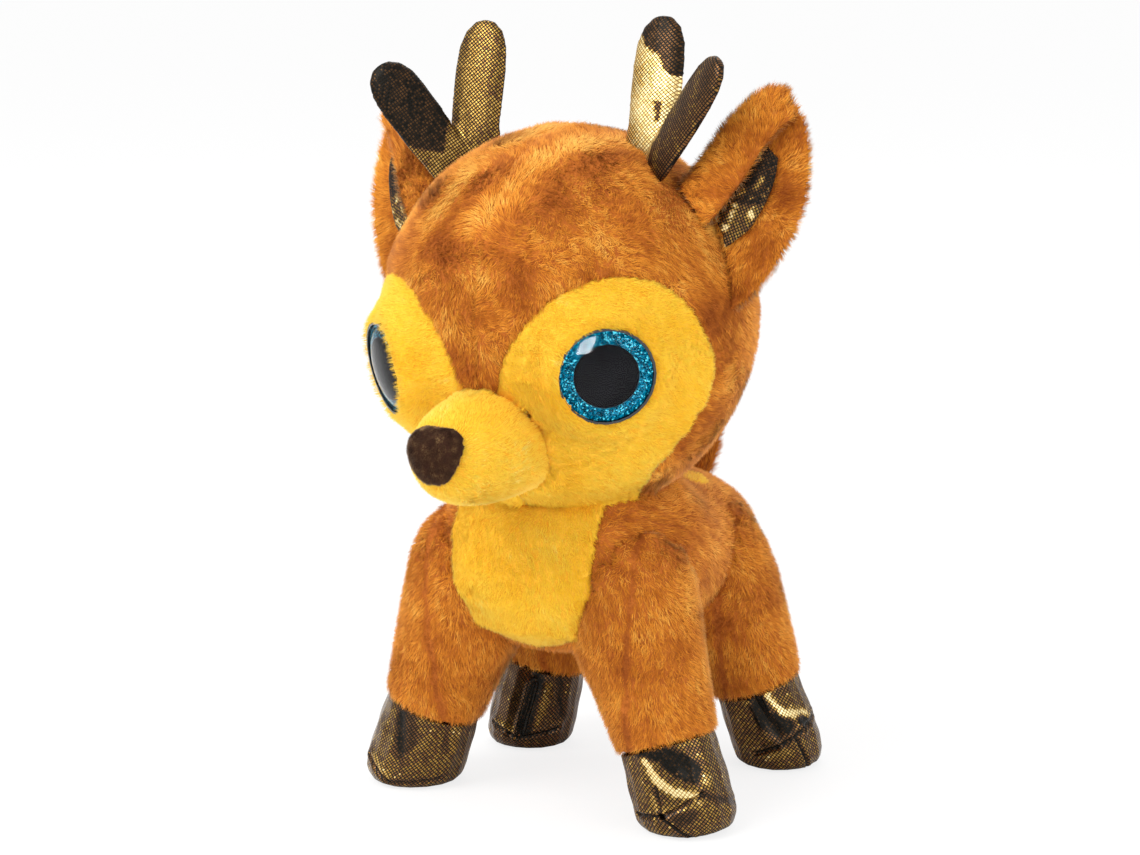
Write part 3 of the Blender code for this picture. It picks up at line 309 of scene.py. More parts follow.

# Each pile is painted darker at its roots, as shade, and lighter at its tips, as a highlight.
brown_pile = pile_finish(
    "brown_pile", BROWN_TONES, (0.66, 0.58, 0.50), (1.12, 1.14, 1.16), (1.0, 0.72, 0.42), 0.8)
yellow_pile = pile_finish(
    "yellow_pile", YELLOW_TONES, (0.97, 0.90, 0.74), (1.03, 1.04, 1.10), (1.0, 0.92, 0.62), 0.8)
nose_pile = pile_finish("nose_pile", NOSE_TONES, (0.7, 0.7, 0.7), (1.2, 1.2, 1.2), (0.9, 0.7, 0.6), 0.7)
# Each backing is set darker than its pile: painted shade, where it lies under the hairs.
brown_backing = backing_finish("brown_backing", (150, 78, 30), (190, 108, 44))
yellow_backing = backing_finish("yellow_backing", (232, 158, 36), (250, 192, 60))
nose_backing = backing_finish("nose_backing", (40, 22, 15), (62, 38, 28))
print("plush finishes: brown, yellow and nose")

# %% [markdown]
# The foil cloth is a black knit with tiny gold dots pressed on it in diagonal rows, about 0.6 mm
# apart, under a thin glossy film. The dots are metal and the black between them isn't, so one mask
# drives both colour and metal. The pattern follows the cloth, so each foil piece gets a map in
# millimetres of cloth. The foil is creased, and its reflections are painted on: in places the dots run
# together into painted bright gold, in others they are painted dull and dark as shade. Each piece
# carries that painted reflection as a number on its points.

# %% Foil finish
WEAVE_MAP = "weave"
PAINTED_REFLECTION = "painted_reflection"
DOT_PITCH = 0.60
# Dot and film colours, from painted shade at 0 to a painted highlight at 1.
DOT_STOPS = colour_stops(
    (0, 26, 22, 14), (0.38, 118, 82, 48), (0.50, 166, 128, 58), (0.75, 222, 180, 98), (1, 255, 236, 176))
FILM_STOPS = colour_stops((0, 9, 8, 6), (0.50, 15, 11, 8), (0.80, 62, 44, 20), (1, 150, 116, 58))


def foil_finish(name, rough, gloss, painted_glint):
    """Metal dots on black cloth, both of them painted brighter where the piece's painted reflection is high.
    """
    material, tree, shader = finish(name, Specular_IOR_Level=0.1, Coat_Weight=gloss, Coat_Roughness=0.12)
    cloth = add(tree, "UVMap", uv_map=WEAVE_MAP)
    turned = add(tree, "Mapping", [("Vector", cloth.outputs["UV"])], Rotation=(0, 0, math.radians(45)))
    split = add(tree, "SeparateXYZ", [("Vector", turned.outputs["Vector"])])
    phases = [calc(tree, "MULTIPLY", split.outputs[way], 2 * math.pi / DOT_PITCH) for way in "XY"]
    rows = [calc(tree, "COSINE", phase) for phase in phases]
    centre = add(tree, "VectorMath", [(0, turned.outputs["Vector"])], operation="ADD")
    centre.inputs[1].default_value = (DOT_PITCH / 2, DOT_PITCH / 2, 0)
    cell = add(tree, "VectorMath", [(0, centre.outputs["Vector"])], operation="SNAP")
    cell.inputs[1].default_value = (DOT_PITCH, DOT_PITCH, 1)
    chance = add(tree, "TexWhiteNoise", [("Vector", cell.outputs["Vector"])]).outputs["Value"]
    painted_reflection_level = add(tree, "Attribute", attribute_name=PAINTED_REFLECTION).outputs["Fac"]
    # A dot's brightness: the painted reflection, a random flicker and, on rare dots, a painted glint.
    flicker = remap(tree, chance, start=-0.10, end=0.10)
    lit = calc(tree, "ADD", calc(tree, "ADD", painted_reflection_level, flicker), remap(tree, chance, 0.990, 0.992, 0, painted_glint))
    # Where the painted reflection is high, the dots grow and run together into painted bright gold.
    level = calc(tree, "ADD", calc(tree, "MINIMUM", *rows), remap(tree, painted_reflection_level, 0.6, 1.0, 0, 0.30))
    mask = remap(tree, level, -0.70, -0.05, interpolation_type="SMOOTHSTEP")
    # Dots and film take their colour from it: painted highlight where it is high, painted shade where low.
    dot, film = ramp(tree, lit, *DOT_STOPS), ramp(tree, painted_reflection_level, *FILM_STOPS)
    colour = add(tree, "MixRGB", [("Fac", mask), ("Color1", film), ("Color2", dot)])
    link(tree, colour.outputs["Color"], shader.inputs["Base Color"])
    link(tree, mask, shader.inputs["Metallic"])
    link(tree, remap(tree, mask, start=rough * 1.3, end=rough), shader.inputs["Roughness"])
    roughen(tree, shader, mask, 0.35, 0.06 * MM)
    return material


foil = foil_finish("foil_cloth_dots", 0.26, 0.10, 0.25)
foil_soft = foil_finish("foil_cloth_antler", 0.38, 0.03, 0.0)
print("foil finish: dots", DOT_PITCH, "mm apart")

# %% [markdown]
# A sewn toy's cloth is tight in the middle of each panel and dips to its seams. To get that, the outer
# skin of a packed cover is lifted off, sunk by the depth of the pile, given a soft wall, remeshed
# evenly and blown up a little with the cloth solver. How far a point may move is capped, so that the
# toy keeps its size. The first helpers select, measure and tell by rays which faces meet open air.

# %% Helpers for selecting and lifting a skin
bpy.context.tool_settings.mesh_select_mode = (False, False, True)
OPEN_REACH = 1.0 * MM
WALL_REACH = 2.3 * MM
SEAM_SPREAD, SEAM_ALLOWANCE = 0.45 * MM, 0.9 * MM
AIR_LIMIT, TUCK_LIMIT = 5 * MM, 5 * MM
EYE_DEPTH = 8 * MM
FACES_OUT = 0.6


def points_of(piece):
    """A piece's points as rows of numbers."""
    flat = np.zeros(len(piece.data.vertices) * 3, np.float32)
    piece.data.vertices.foreach_get("co", flat)
    return flat.reshape(-1, 3).astype(float)


def put_points(piece, points):
    """Moves a piece's points to new places."""
    piece.data.vertices.foreach_set("co", points.astype(np.float32).ravel())
    piece.data.update()


def unit(rows):
    """Rows of numbers made 1 long each."""
    return rows / np.maximum(np.linalg.norm(rows, axis=-1, keepdims=True), 1e-12)


def from_axis(points, middle, axis):
    """For each point, how far it lies along an axis, its way off the axis and how far off it is."""
    away = points - np.array(middle)
    along = away @ np.array(axis)
    off = away - along[:, None] * np.array(axis)
    return along, off, np.linalg.norm(off, axis=1)


def spread_of(points):
    """The middle of some points and the three ways that they spread in, the widest first."""
    middle = points.mean(0)
    return middle, np.linalg.svd(points - middle, full_matrices=False)[2]


def tree_of(nodes):
    """Pieces as one tree for rays."""
    points, faces = [], []
    for node in nodes:
        first = len(points)
        points += [v.co.copy() for v in node.data.vertices]
        faces += [[first + i for i in p.vertices] for p in node.data.polygons]
    return BVHTree.FromPolygons(points, faces)


PACKED = tree_of(NODES.values())
STUFFING = tree_of([node for name, node in NODES.items() if "fill" in name])


def alone(piece):
    """Selects one piece and nothing else."""
    bpy.ops.object.select_all(action="DESELECT")
    piece.select_set(True)
    bpy.context.view_layer.objects.active = piece


@contextmanager
def editing(piece, everything=True):
    """Edit mode on one piece for the steps inside, with all of it selected or what was."""
    alone(piece)
    bpy.ops.object.mode_set(mode="EDIT")
    if everything:
        bpy.ops.mesh.select_all(action="SELECT")
    yield
    bpy.ops.object.mode_set(mode="OBJECT")


def reshape(piece, kind, **values):
    """Adds a modifier with its settings and applies it."""
    alone(piece)
    made = piece.modifiers.new(kind.lower(), kind)
    for key, value in values.items():
        setattr(made, key, value)
    bpy.ops.object.modifier_apply(modifier=made.name)


def ball(name, segments, rings):
    """A new sphere, 1 in radius."""
    bpy.ops.object.select_all(action="DESELECT")
    bpy.ops.mesh.primitive_uv_sphere_add(segments=segments, ring_count=rings, radius=1)
    piece = bpy.context.object
    piece.name = name
    return piece


def lift(node, name):
    """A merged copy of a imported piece, free to be reshaped."""
    piece = bpy.data.objects.new(name, NODES[node].data.copy())
    bpy.context.scene.collection.objects.link(piece)
    with editing(piece):
        bpy.ops.mesh.remove_doubles(threshold=0.001 * MM)
    return piece


def meets_air(point, normal, depth):
    """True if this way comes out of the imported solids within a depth, and meets nothing soon after."""
    at, left, leaves = point - normal * 0.3 * MM, depth + OPEN_REACH, None
    while left > 0:
        place, way, index, far = PACKED.ray_cast(at, normal, left)
        if place is None:
            break
        leaves = way.dot(normal) > 0
        at, left = place + normal * 0.01 * MM, left - far
    if leaves is None:
        near, way, index, far = PACKED.find_nearest(point)
        leaves = (point - near).dot(way) > 0 and far < AIR_LIMIT
    return leaves


def is_outside(face, wall, holes):
    """True for a face with its wall's thickness under it and stuffing under that, clear of any hole."""
    for centre, axis, radius in holes:
        away = face.center - centre
        if abs(away.dot(axis)) < EYE_DEPTH and (away - axis * away.dot(axis)).length < radius:
            return False
    below = PACKED.ray_cast(face.center - face.normal * 0.02 * MM, -face.normal, wall)[0]
    near = STUFFING.find_nearest(face.center, 3 * wall)[0]
    if below is None or near is None:
        return False
    return (face.center - near).normalized().dot(face.normal) > FACES_OUT


def border_ways(piece):
    """For each point on an open skin's border, the way outwards in its own surface."""
    cloth = bmesh.new()
    cloth.from_mesh(piece.data)
    ways = {}
    for edge in cloth.edges:
        if not edge.is_boundary:
            continue
        face = edge.link_faces[0]
        along = (edge.verts[1].co - edge.verts[0].co).normalized()
        away = along.cross(face.normal)
        if away.dot(edge.verts[0].co - face.calc_center_median()) < 0:
            away = -away
        for vert in edge.verts:
            ways[vert.index] = ways.get(vert.index, Vector()) + away
    cloth.free()
    return {index: np.array(way.normalized()) for index, way in ways.items() if way.length > 0.1}


def outer_skin(node, name, sink, wall, holes=()):
    """The outside of a cover, sunk by the pile's depth, with a soft wall and a seam allowance inside."""
    piece = lift(node, name)
    reshape(piece, "SUBSURF", subdivision_type="SIMPLE", levels=2)
    for face in piece.data.polygons:
        face.select = not is_outside(face, WALL_REACH, holes)
    with editing(piece, everything=False):
        bpy.ops.mesh.delete(type="FACE")
        bpy.ops.mesh.select_all(action="SELECT")
        bpy.ops.mesh.remove_doubles(threshold=0.02 * MM)
        bpy.ops.transform.shrink_fatten(value=-sink)
    ways = border_ways(piece)
    points = points_of(piece)
    count = len(points)
    for index, way in ways.items():
        points[index] += way * SEAM_SPREAD
    put_points(piece, points)
    reshape(piece, "SOLIDIFY", thickness=wall, offset=-1)
    points = points_of(piece)
    for index, way in ways.items():
        points[count + index] += (way + unit(points[count + index] - points[index])) * SEAM_ALLOWANCE
    put_points(piece, points)
    return piece


def open_skin():
    """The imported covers' open faces as a tree, and the node that owns each face."""
    points, faces, owners = [], [], []
    covers = ("head_cover", "face_patch", "muzzle", "body_cover", "chest", "leg_")
    for name, node in NODES.items():
        if not name.startswith(covers) or "fill" in name:
            continue
        for face in node.data.polygons:
            if PACKED.ray_cast(face.center + face.normal * 0.02 * MM, face.normal, 1.5 * MM)[0] is None:
                faces.append(list(range(len(points), len(points) + len(face.vertices))))
                points += [node.data.vertices[i].co for i in face.vertices]
                owners.append(name)
    return BVHTree.FromPolygons(points, faces), owners


SKIN, SKIN_OWNERS = open_skin()
OWN_LEVEL, NEIGHBOUR_LEVEL = -0.25 * MM, -1.5 * MM


def tuck_in(piece, node):
    """Presses in what stands out of the toy, and lays a border that passes its seam under its neighbour."""
    points = points_of(piece)
    for i, point in enumerate(points):
        near, normal, face, far = SKIN.find_nearest(Vector(point))
        level = OWN_LEVEL if SKIN_OWNERS[face] == node else NEIGHBOUR_LEVEL
        if far < TUCK_LIMIT and (Vector(point) - near).dot(normal) > level:
            points[i] = near + normal * level
    put_points(piece, points)


def thinned(node, name, sink):
    """A whole closed piece, shrunk by the pile's depth on every side."""
    piece = lift(node, name)
    with editing(piece):
        bpy.ops.mesh.normals_make_consistent(inside=False)
        bpy.ops.transform.shrink_fatten(value=-sink)
    return piece


print("open faces are found by rays", OPEN_REACH / MM, "mm long")

# %% [markdown]
# The cloth solver works best on things of furniture size, so a cover is enlarged ten times for it and
# brought back afterwards. Pressure pushes both walls apart, and the rim between them stays narrow,
# which is what gives a sewn panel its crown.

# %% Puffing a cover up
SOLVER_SCALE, SOLVER_FRAMES, SOLVER_QUALITY = 10, 8, 4
PRESSURE = 2.0


def puff(piece, cap):
    """Blows a closed soft form up with the cloth solver, no point by more than the cap."""
    rest = points_of(piece)
    put_points(piece, rest * SOLVER_SCALE)
    alone(piece)
    cloth = piece.modifiers.new("cloth", "CLOTH")
    cloth.settings.quality = SOLVER_QUALITY
    cloth.settings.use_pressure = True
    cloth.settings.uniform_pressure_force = PRESSURE
    cloth.settings.effector_weights.gravity = 0
    cloth.point_cache.frame_start, cloth.point_cache.frame_end = 1, SOLVER_FRAMES
    scene = bpy.context.scene
    for step in range(1, SOLVER_FRAMES + 1):
        scene.frame_set(step)
    bpy.ops.object.modifier_apply(modifier=cloth.name)
    scene.frame_set(1)
    move = points_of(piece) / SOLVER_SCALE - rest
    length = np.linalg.norm(move, axis=1, keepdims=True)
    put_points(piece, rest + move / np.maximum(length, 1e-9) * cap * np.tanh(length / cap))


def soften(piece, voxel, cap, keep=1.0, smooth=1):
    """Remeshes a form evenly, rounds its edges and puffs it up."""
    reshape(piece, "REMESH", mode="VOXEL", voxel_size=voxel)
    reshape(piece, "SMOOTH", factor=0.5, iterations=smooth)
    puff(piece, cap)
    if keep < 1:
        reshape(piece, "DECIMATE", ratio=keep)
    alone(piece)
    bpy.ops.object.shade_smooth()


ROOT_NEAR = 3.0 * MM


def rooted(piece, hosts, reach):
    """Draws the end of a sewn-on piece into its host, so that no gap shows at the seam."""
    host = tree_of([NODES[name] for name in hosts])
    inside = Vector(np.mean([points_of(NODES[name]).mean(0) for name in hosts], axis=0))
    points = points_of(piece)
    for i, point in enumerate(points):
        far = host.find_nearest(Vector(point))[3]
        way = (inside - Vector(point)).normalized()
        points[i] = Vector(point) + way * reach * max(0, 1 - far / ROOT_NEAR)
    put_points(piece, points)


def stands_for(piece, node):
    """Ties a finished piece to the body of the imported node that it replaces."""
    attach(piece, BODY_OF[node])
    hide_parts(node)


print("covers are puffed in", SOLVER_FRAMES, "steps at", SOLVER_SCALE, "times their size")

# %% [markdown]
# A hair is modelled once, as a slim three-sided cone, and every other hair is a copy of it, turned and
# stretched to its own root. The roots are scattered evenly over the open faces. Each hair leans along
# the nap, and the nap is a comb direction stirred by slow waves. Where the waves lay the hairs down
# the cloth looks bright, and where they open it the cloth looks dark, so the same waves paint that
# light and shade into the tone. Finer waves along the nap paint the light and shade of small tufts.

# %% Growing a pile
HAIR_FLATNESS = 0.4
ROOT_SINK = 0.25 * MM
COLLAR_WIDTH, COLLAR_RISE, COLLAR_LENGTH = 2.6 * MM, 0.75, 0.5
TUFT_LENGTH, TUFT_STIR, STRAY = 1.7 * MM, 0.42, 0.20
LEAN_WAVE, LEAN_SPREAD, LEAN_LIMITS = 50, 7, (8, 78)
FINE_WAVES = ((2.4 * MM, 91), (1.1 * MM, 95))
FINE_STRETCH = 0.6
TONE_SPREAD, TONE_LIMITS = 0.06, (0.01, 0.99)
LENGTH_SPREAD, LENGTH_LIMITS, WIDTH_LIMITS = 0.14, (0.6, 1.4), (0.8, 1.2)
PARTING_SHADE, PARTING_SHORT = 0.50, 0.6
STIR_SEED, TUFT_SEED, SLOW_SEED = 31, 57, 77
CM2 = 1e-4


def hair_model(storeys, curl):
    """One hair, 1 high and 1 in radius at its root: its points and its triangles."""
    bpy.ops.object.select_all(action="DESELECT")
    bpy.ops.mesh.primitive_cone_add(vertices=3, radius1=1, radius2=0, depth=1, location=(0, 0, 0.5))
    hair = bpy.context.object
    bpy.ops.object.transform_apply(location=True)
    with editing(hair):
        for storey in range(1, storeys):
            bpy.ops.mesh.bisect(plane_co=(0, 0, storey / storeys), plane_no=(0, 0, 1))
            bpy.ops.mesh.select_all(action="SELECT")
        bpy.ops.mesh.quads_convert_to_tris()
    points = points_of(hair)
    if storeys > 1:
        middle = (points[:, 2] > 0.2) & (points[:, 2] < 0.8)
        points[middle, :2] *= 1.5
    points[:, 0] *= HAIR_FLATNESS
    points[:, 0] -= curl * points[:, 2] ** 2
    faces = np.array([list(p.vertices) for p in hair.data.polygons])
    bpy.data.objects.remove(hair)
    return points, faces


SHORT_HAIR = hair_model(1, 0)
LONG_HAIR = hair_model(2, 1.2)


def waves(points, length, seed, count=20):
    """A smooth random field over points, about -1 to 1, whose features are about a length across."""
    draw = np.random.default_rng(seed)
    ways = draw.normal(size=(count, 3))
    norms = np.linalg.norm(ways, axis=1, keepdims=True)
    ways *= (2 * np.pi / length) * draw.uniform(0.6, 1.3, (count, 1)) / norms
    phases = draw.uniform(0, 2 * np.pi, count)
    return np.cos(points @ ways.T + phases).sum(1) / math.sqrt(count / 2) * 0.6


def open_triangles(piece, depth):
    """Corner points, corner normals and areas of the triangles of a piece that meet open air."""
    piece.data.calc_loop_triangles()
    points = points_of(piece)
    normals = np.array([v.normal for v in piece.data.vertices])
    corners = []
    for triangle in piece.data.loop_triangles:
        centre = Vector(points[list(triangle.vertices)].mean(0))
        if meets_air(centre, triangle.normal, depth):
            corners.append(list(triangle.vertices))
    corners = np.array(corners)
    a, b, c = (points[corners[:, i]] for i in range(3))
    areas = np.linalg.norm(np.cross(b - a, c - a), axis=1) / 2
    return points[corners], normals[corners], areas


def make_hairs(name, roots, ways, sides, lengths, widths, tones, model, shading):
    """A mesh of hair copies, with the colour chart's map and soft normals."""
    points, faces = model
    across = np.cross(ways, sides)
    placed = roots[:, None] + (
        sides[:, None] * points[None, :, :1] * widths[:, None, None]
        + across[:, None] * points[None, :, 1:2] * widths[:, None, None]
        + ways[:, None] * points[None, :, 2:] * lengths[:, None, None]
    )
    count, each = len(roots), len(points)
    all_faces = (faces[None] + (np.arange(count) * each)[:, None, None]).reshape(-1, 3)
    mesh = bpy.data.meshes.new(name)
    mesh.from_pydata(placed.reshape(-1, 3), [], all_faces)
    corner = all_faces.ravel()
    hair, part = corner // each, corner % each
    chart = mesh.uv_layers.new(name=PILE_MAP)
    places = np.stack([tones[hair] + 0.004 * np.sign(points[part, 1]), points[part, 2]], 1)
    chart.data.foreach_set("uv", np.clip(places, 0.004, 0.996).astype(np.float32).ravel())
    spokes = placed - (roots[:, None] + ways[:, None] * points[None, :, 2:] * lengths[:, None, None])
    spokes = unit(spokes.reshape(-1, 3)).reshape(placed.shape)
    facing = (shading[:, None] * spokes).sum(2, keepdims=True)
    soft = unit((shading[:, None] + np.maximum(0.38, 0.25 - facing) * spokes).reshape(-1, 3))
    mesh.polygons.foreach_set("use_smooth", np.ones(len(all_faces), bool))
    mesh.normals_split_custom_set_from_vertices(soft)
    piece = bpy.data.objects.new(name, mesh)
    bpy.context.scene.collection.objects.link(piece)
    return piece


def grow(name, cover, node, cloth, seed, comb, share=1, long=1, wide=1, lean=50, swirl=0.8,
         swirl_length=16 * MM, tone=0.5, contrast=0.12, tuft_light_and_shade=0.11, model=SHORT_HAIR, depth=2.6 * MM,
         keep_out=(), half=None, parting=None):
    """Covers the open side of a soft piece with a cloth's pile, which leans along a comb direction."""
    corners, corner_normals, areas = open_triangles(cover, depth)
    if half:
        ahead = (corners.mean(1) - np.array(half[0])) @ np.array(half[1]) > 0
        corners, corner_normals, areas = corners[ahead], corner_normals[ahead], areas[ahead]
    draw = np.random.default_rng(seed)
    area = areas.sum() / CM2
    count = int(area * (cloth.density * share))
    chosen = draw.choice(len(areas), count, p=areas / areas.sum())
    u, v = draw.random((2, count, 1))
    fold = u + v > 1
    u, v = np.where(fold, 1 - u, u), np.where(fold, 1 - v, v)
    weights = np.stack([1 - u - v, u, v], 1)
    roots = (corners[chosen] * weights).sum(1)
    normals = unit((corner_normals[chosen] * weights).sum(1))
    flow = unit(comb(roots) if callable(comb) else np.tile(np.array(comb, float), (count, 1)))
    stir, tuft = (
        np.stack([waves(roots, size, first + i) for i in range(3)], 1)
        for size, first in ((swirl_length, STIR_SEED), (TUFT_LENGTH, TUFT_SEED)))
    flow = flow + swirl * stir + TUFT_STIR * tuft + draw.normal(0, STRAY, (count, 3))
    flow = unit(flow - (flow * normals).sum(1, keepdims=True) * normals)
    slow = waves(roots, swirl_length * 0.8, SLOW_SEED)
    slope = lean + LEAN_WAVE * contrast * slow + draw.normal(0, LEAN_SPREAD, count)
    slope = np.radians(np.clip(slope, *LEAN_LIMITS))[:, None]
    collar = np.zeros(count)
    for middle, axis, radius in keep_out:
        along, away, off = from_axis(roots, middle, axis)
        near_eye = np.clip(1 - (off - radius) / COLLAR_WIDTH, 0, 1) * (along > -EYE_DEPTH)
        collar = np.maximum(collar, near_eye)
        normals = unit(normals * (1 - near_eye[:, None]) + np.array(axis) * near_eye[:, None])
    slope = slope * (1 - COLLAR_RISE * collar[:, None])
    ways = normals * np.cos(slope) + flow * np.sin(slope)
    along = unit(flow.mean(0))
    laid = roots - FINE_STRETCH * np.outer(roots @ along, along)
    fine = sum(waves(laid, size, wave_seed) for size, wave_seed in FINE_WAVES)
    # Tone: painted light and shade of the nap and of small tufts, from the slow and fine waves, and a random
    # scatter.
    tones = tone + contrast * slow + tuft_light_and_shade * fine + draw.normal(0, TONE_SPREAD, count)
    tones = np.clip(tones, *TONE_LIMITS)
    lengths = cloth.length * long * np.clip(draw.normal(1, LENGTH_SPREAD, count), *LENGTH_LIMITS)
    lengths = lengths * (1 + COLLAR_LENGTH * collar)
    if parting:
        part = parting(roots)
        # Painted shade along a seam's parting, where the hairs are also shorter.
        tones = np.clip(tones - PARTING_SHADE * part, *TONE_LIMITS)
        lengths = lengths * (1 - PARTING_SHORT * part)
    widths = cloth.width * wide / 2 * draw.uniform(*WIDTH_LIMITS, count)
    good = np.ones(count, bool)
    for middle, axis, radius in keep_out:
        for ends in (roots, roots + ways * lengths[:, None]):
            along, away, off = from_axis(ends, middle, axis)
            good &= (off > radius) | (along < -EYE_DEPTH)
    roots, ways, normals = roots[good], ways[good], normals[good]
    piece = make_hairs(
        name, roots - ways * ROOT_SINK, ways, unit(np.cross(ways, np.cross(normals, ways))),
        lengths[good] + ROOT_SINK, widths[good], tones[good], model, normals)
    paint(piece, cloth.pile)
    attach(piece, BODY_OF[node])
    print(name, len(roots), "hairs on", round(area, 1), "cm2,", len(piece.data.polygons), "faces")


print("a short hair has", len(SHORT_HAIR[1]), "faces and a long one", len(LONG_HAIR[1]))

# %% [markdown]
# Three cloths make the toy. Each has a backing and a pile, the depth that the backing lies under the
# packed surface, and the density, length and width of its hairs. A panel is a part of a sewn cover,
# and a leaf is a piece that is sewn on by its edge.

# %% Three cloths
Cloth = namedtuple("Cloth", "slot backing pile depth density length width")
BROWN = Cloth("brown_plush", brown_backing, brown_pile, 0.75 * MM, 1150, 1.35 * MM, 0.19 * MM)
YELLOW = Cloth("yellow_plush", yellow_backing, yellow_pile, 0.55 * MM, 1300, 1.0 * MM, 0.18 * MM)
FLOCK = Cloth("nose_flock", nose_backing, nose_pile, 0.15 * MM, 5200, 0.42 * MM, 0.11 * MM)
COVER_WALL, COVER_VOXEL, COVER_CAP = 2.4 * MM, 1.1 * MM, 0.45 * MM


def panel(node, name, cloth, voxel=COVER_VOXEL, cap=COVER_CAP, keep=0.5, holes=()):
    """A panel of a sewn cover, still without its pile."""
    cover = outer_skin(node, name, cloth.depth, COVER_WALL, holes)
    soften(cover, voxel, cap, keep=keep)
    tuck_in(cover, node)
    paint(cover, cloth.backing)
    return cover


def leaf(node, name, cloth, sink, voxel, cap, hosts=(), reach=0, smooth=1):
    """A piece sewn on by its edge, still without its pile."""
    piece = thinned(node, name, sink)
    soften(piece, voxel, cap, smooth=smooth)
    if hosts:
        rooted(piece, hosts, reach)
    paint(piece, cloth.backing)
    return piece


print("cloths:", BROWN.slot, YELLOW.slot, FLOCK.slot)

# %% [markdown]
# Inside the covers lies the stuffing, a springy mass of white polyester fibre. The model keeps it as
# soft lumpy forms that stay clear of the covers round them.

# %% Stuffing
LEG_WORDS = ("front_left", "front_right", "hind_left", "hind_right")
FILL_INSET, FILL_VOXEL, FILL_CAP = 2.2 * MM, 1.8 * MM, 0.3 * MM
FILL_NODES = ["head_fill", "body_fill"] + ["leg_fill_" + word for word in LEG_WORDS]
fibre, tree, shader, place, strands = grainy(
    "white_fibre", {"Scale": 900, "Detail": 4, "Distortion": 1.5},
    (0.35, 205, 205, 200), (0.6, 244, 244, 240), Roughness=0.9, Specular_IOR_Level=0.1)
roughen(tree, shader, strands, 0.6, 0.6 * MM)

for node in FILL_NODES:
    fill = thinned(node, node.replace("fill", "stuffing"), FILL_INSET)
    soften(fill, FILL_VOXEL, FILL_CAP, keep=0.5)
    paint(fill, fibre)
    stands_for(fill, node)
print("stuffing:", len(FILL_NODES), "pieces")

# %% [markdown]
# The eyes come before the fur, because no hair may grow into them. A safety eye is a black dish with
# a shank that goes through the cloth to a washer, a ring of glitter foil, a black pupil and a clear
# dome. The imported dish, foil, pupil and washer already have their true shape, so their place and axis
# are measured from the foil ring, the flattest of them.

# %% Eye places
HEAD_MIDDLE = Vector((0.00125, -0.00139, 0.1031))


def disc_of(node):
    """The middle, the outward axis and the radius of a flat round piece."""
    points = points_of(NODES[node])
    middle = (points.max(0) + points.min(0)) / 2
    axis = spread_of(points)[1][2]
    if axis @ (middle - np.array(HEAD_MIDDLE)) < 0:
        axis = -axis
    heights = (points - middle) @ axis
    middle = middle + axis * (heights.max() + heights.min()) / 2
    return Vector(middle), Vector(axis), from_axis(points, middle, axis)[2].max()


EYES = {word: disc_of("eye_iris_" + word) for word, way in SIDES}
EYE_CLEAR = tuple((middle, axis, radius + 0.38 * MM) for middle, axis, radius in EYES.values())
EYE_HOLES = tuple((middle, axis, radius - 0.6 * MM) for middle, axis, radius in EYES.values())
for word, (middle, axis, radius) in EYES.items():
    print(word, "eye is", round(2 * radius / MM, 1), "mm across at", in_mm(middle))

# %% [markdown]
# The brown head is two cut halves that meet in a seam over the crown, combed down and back. The nap of
# the forehead is stirred by handling into swirls as wide as a thumb, which show bright and dark in the
# light, so its waves are strong and paint strong light and shade into its tone. The back of the head
# shows less, and has fewer and wider hairs.

# %% Head covers
for word, way in SIDES:
    node = "head_cover_" + word
    cover = panel(node, "plush_head_" + word, BROWN)
    for part, share, ahead in (("front", 1.0, 1), ("rear", 0.62, -1)):
        grow(f"pile_head_{word}_{part}", cover, node, BROWN, 11, (0, 0.8, -1), share,
             wide=1 / math.sqrt(share), lean=54, swirl=1.1, contrast=0.16 + 0.07 * ahead, keep_out=EYE_CLEAR,
             half=((0, HEAD_MIDDLE.y, 0), (0, -ahead, 0)))
    stands_for(cover, node)

# %% [markdown]
# The yellow face is two patches with a shorter, denser pile that is combed sideways, away from the
# muzzle. The muzzle is a stuffed cone of the same cloth, combed back from the nose.

# %% Face patches and muzzle
SEAT_HEIGHT, SEAT_DEPTH, SEAT_WIDTH = 0.45 * MM, -0.9 * MM, 7.5 * MM
BANK_HEIGHT = 2.0 * MM
EYE_COVER_DEPTH = 4.0 * MM


def seat_eye(cover, eye):
    """The eye is pressed into the stuffing, so the plush rises in a soft bank up to its rim."""
    middle, axis, radius = eye
    points, axis = points_of(cover), np.array(axis)
    along, away, off = from_axis(points, middle, axis)
    share = np.clip(1 - (off - radius) / SEAT_WIDTH, 0, 1)
    share = share * share * (3 - 2 * share) * (np.abs(along) < EYE_DEPTH)
    inward = np.array((-np.sign(axis[0]), 0, 0))
    inward = unit((inward - inward @ axis * axis)[None])[0]
    height = SEAT_HEIGHT + BANK_HEIGHT * np.clip(unit(away) @ inward, 0, 1)
    rise = np.clip((off - radius + 0.2 * MM) / (0.9 * MM), 0, 1)
    height = SEAT_DEPTH + (height - SEAT_DEPTH) * rise
    lift_by = np.where(along > -EYE_COVER_DEPTH, height - along, height + EYE_COVER_DEPTH)
    lowest = np.where(rise < 1, -EYE_COVER_DEPTH, 0)
    lift_by = share * np.clip(lift_by, lowest, EYE_COVER_DEPTH + BANK_HEIGHT)
    put_points(cover, points + lift_by[:, None] * axis)


for word, way in SIDES:
    node = "face_patch_" + word
    cover = panel(node, "plush_patch_" + word, YELLOW, COVER_VOXEL * 0.9, COVER_CAP * 0.8, 0.6, EYE_HOLES)
    seat_eye(cover, EYES[word])
    grow("pile_patch_" + word, cover, node, YELLOW, 21, (way, 0.5, -0.35), lean=58, swirl=0.45,
         contrast=0.10, tuft_light_and_shade=0.07, keep_out=EYE_CLEAR)
    stands_for(cover, node)

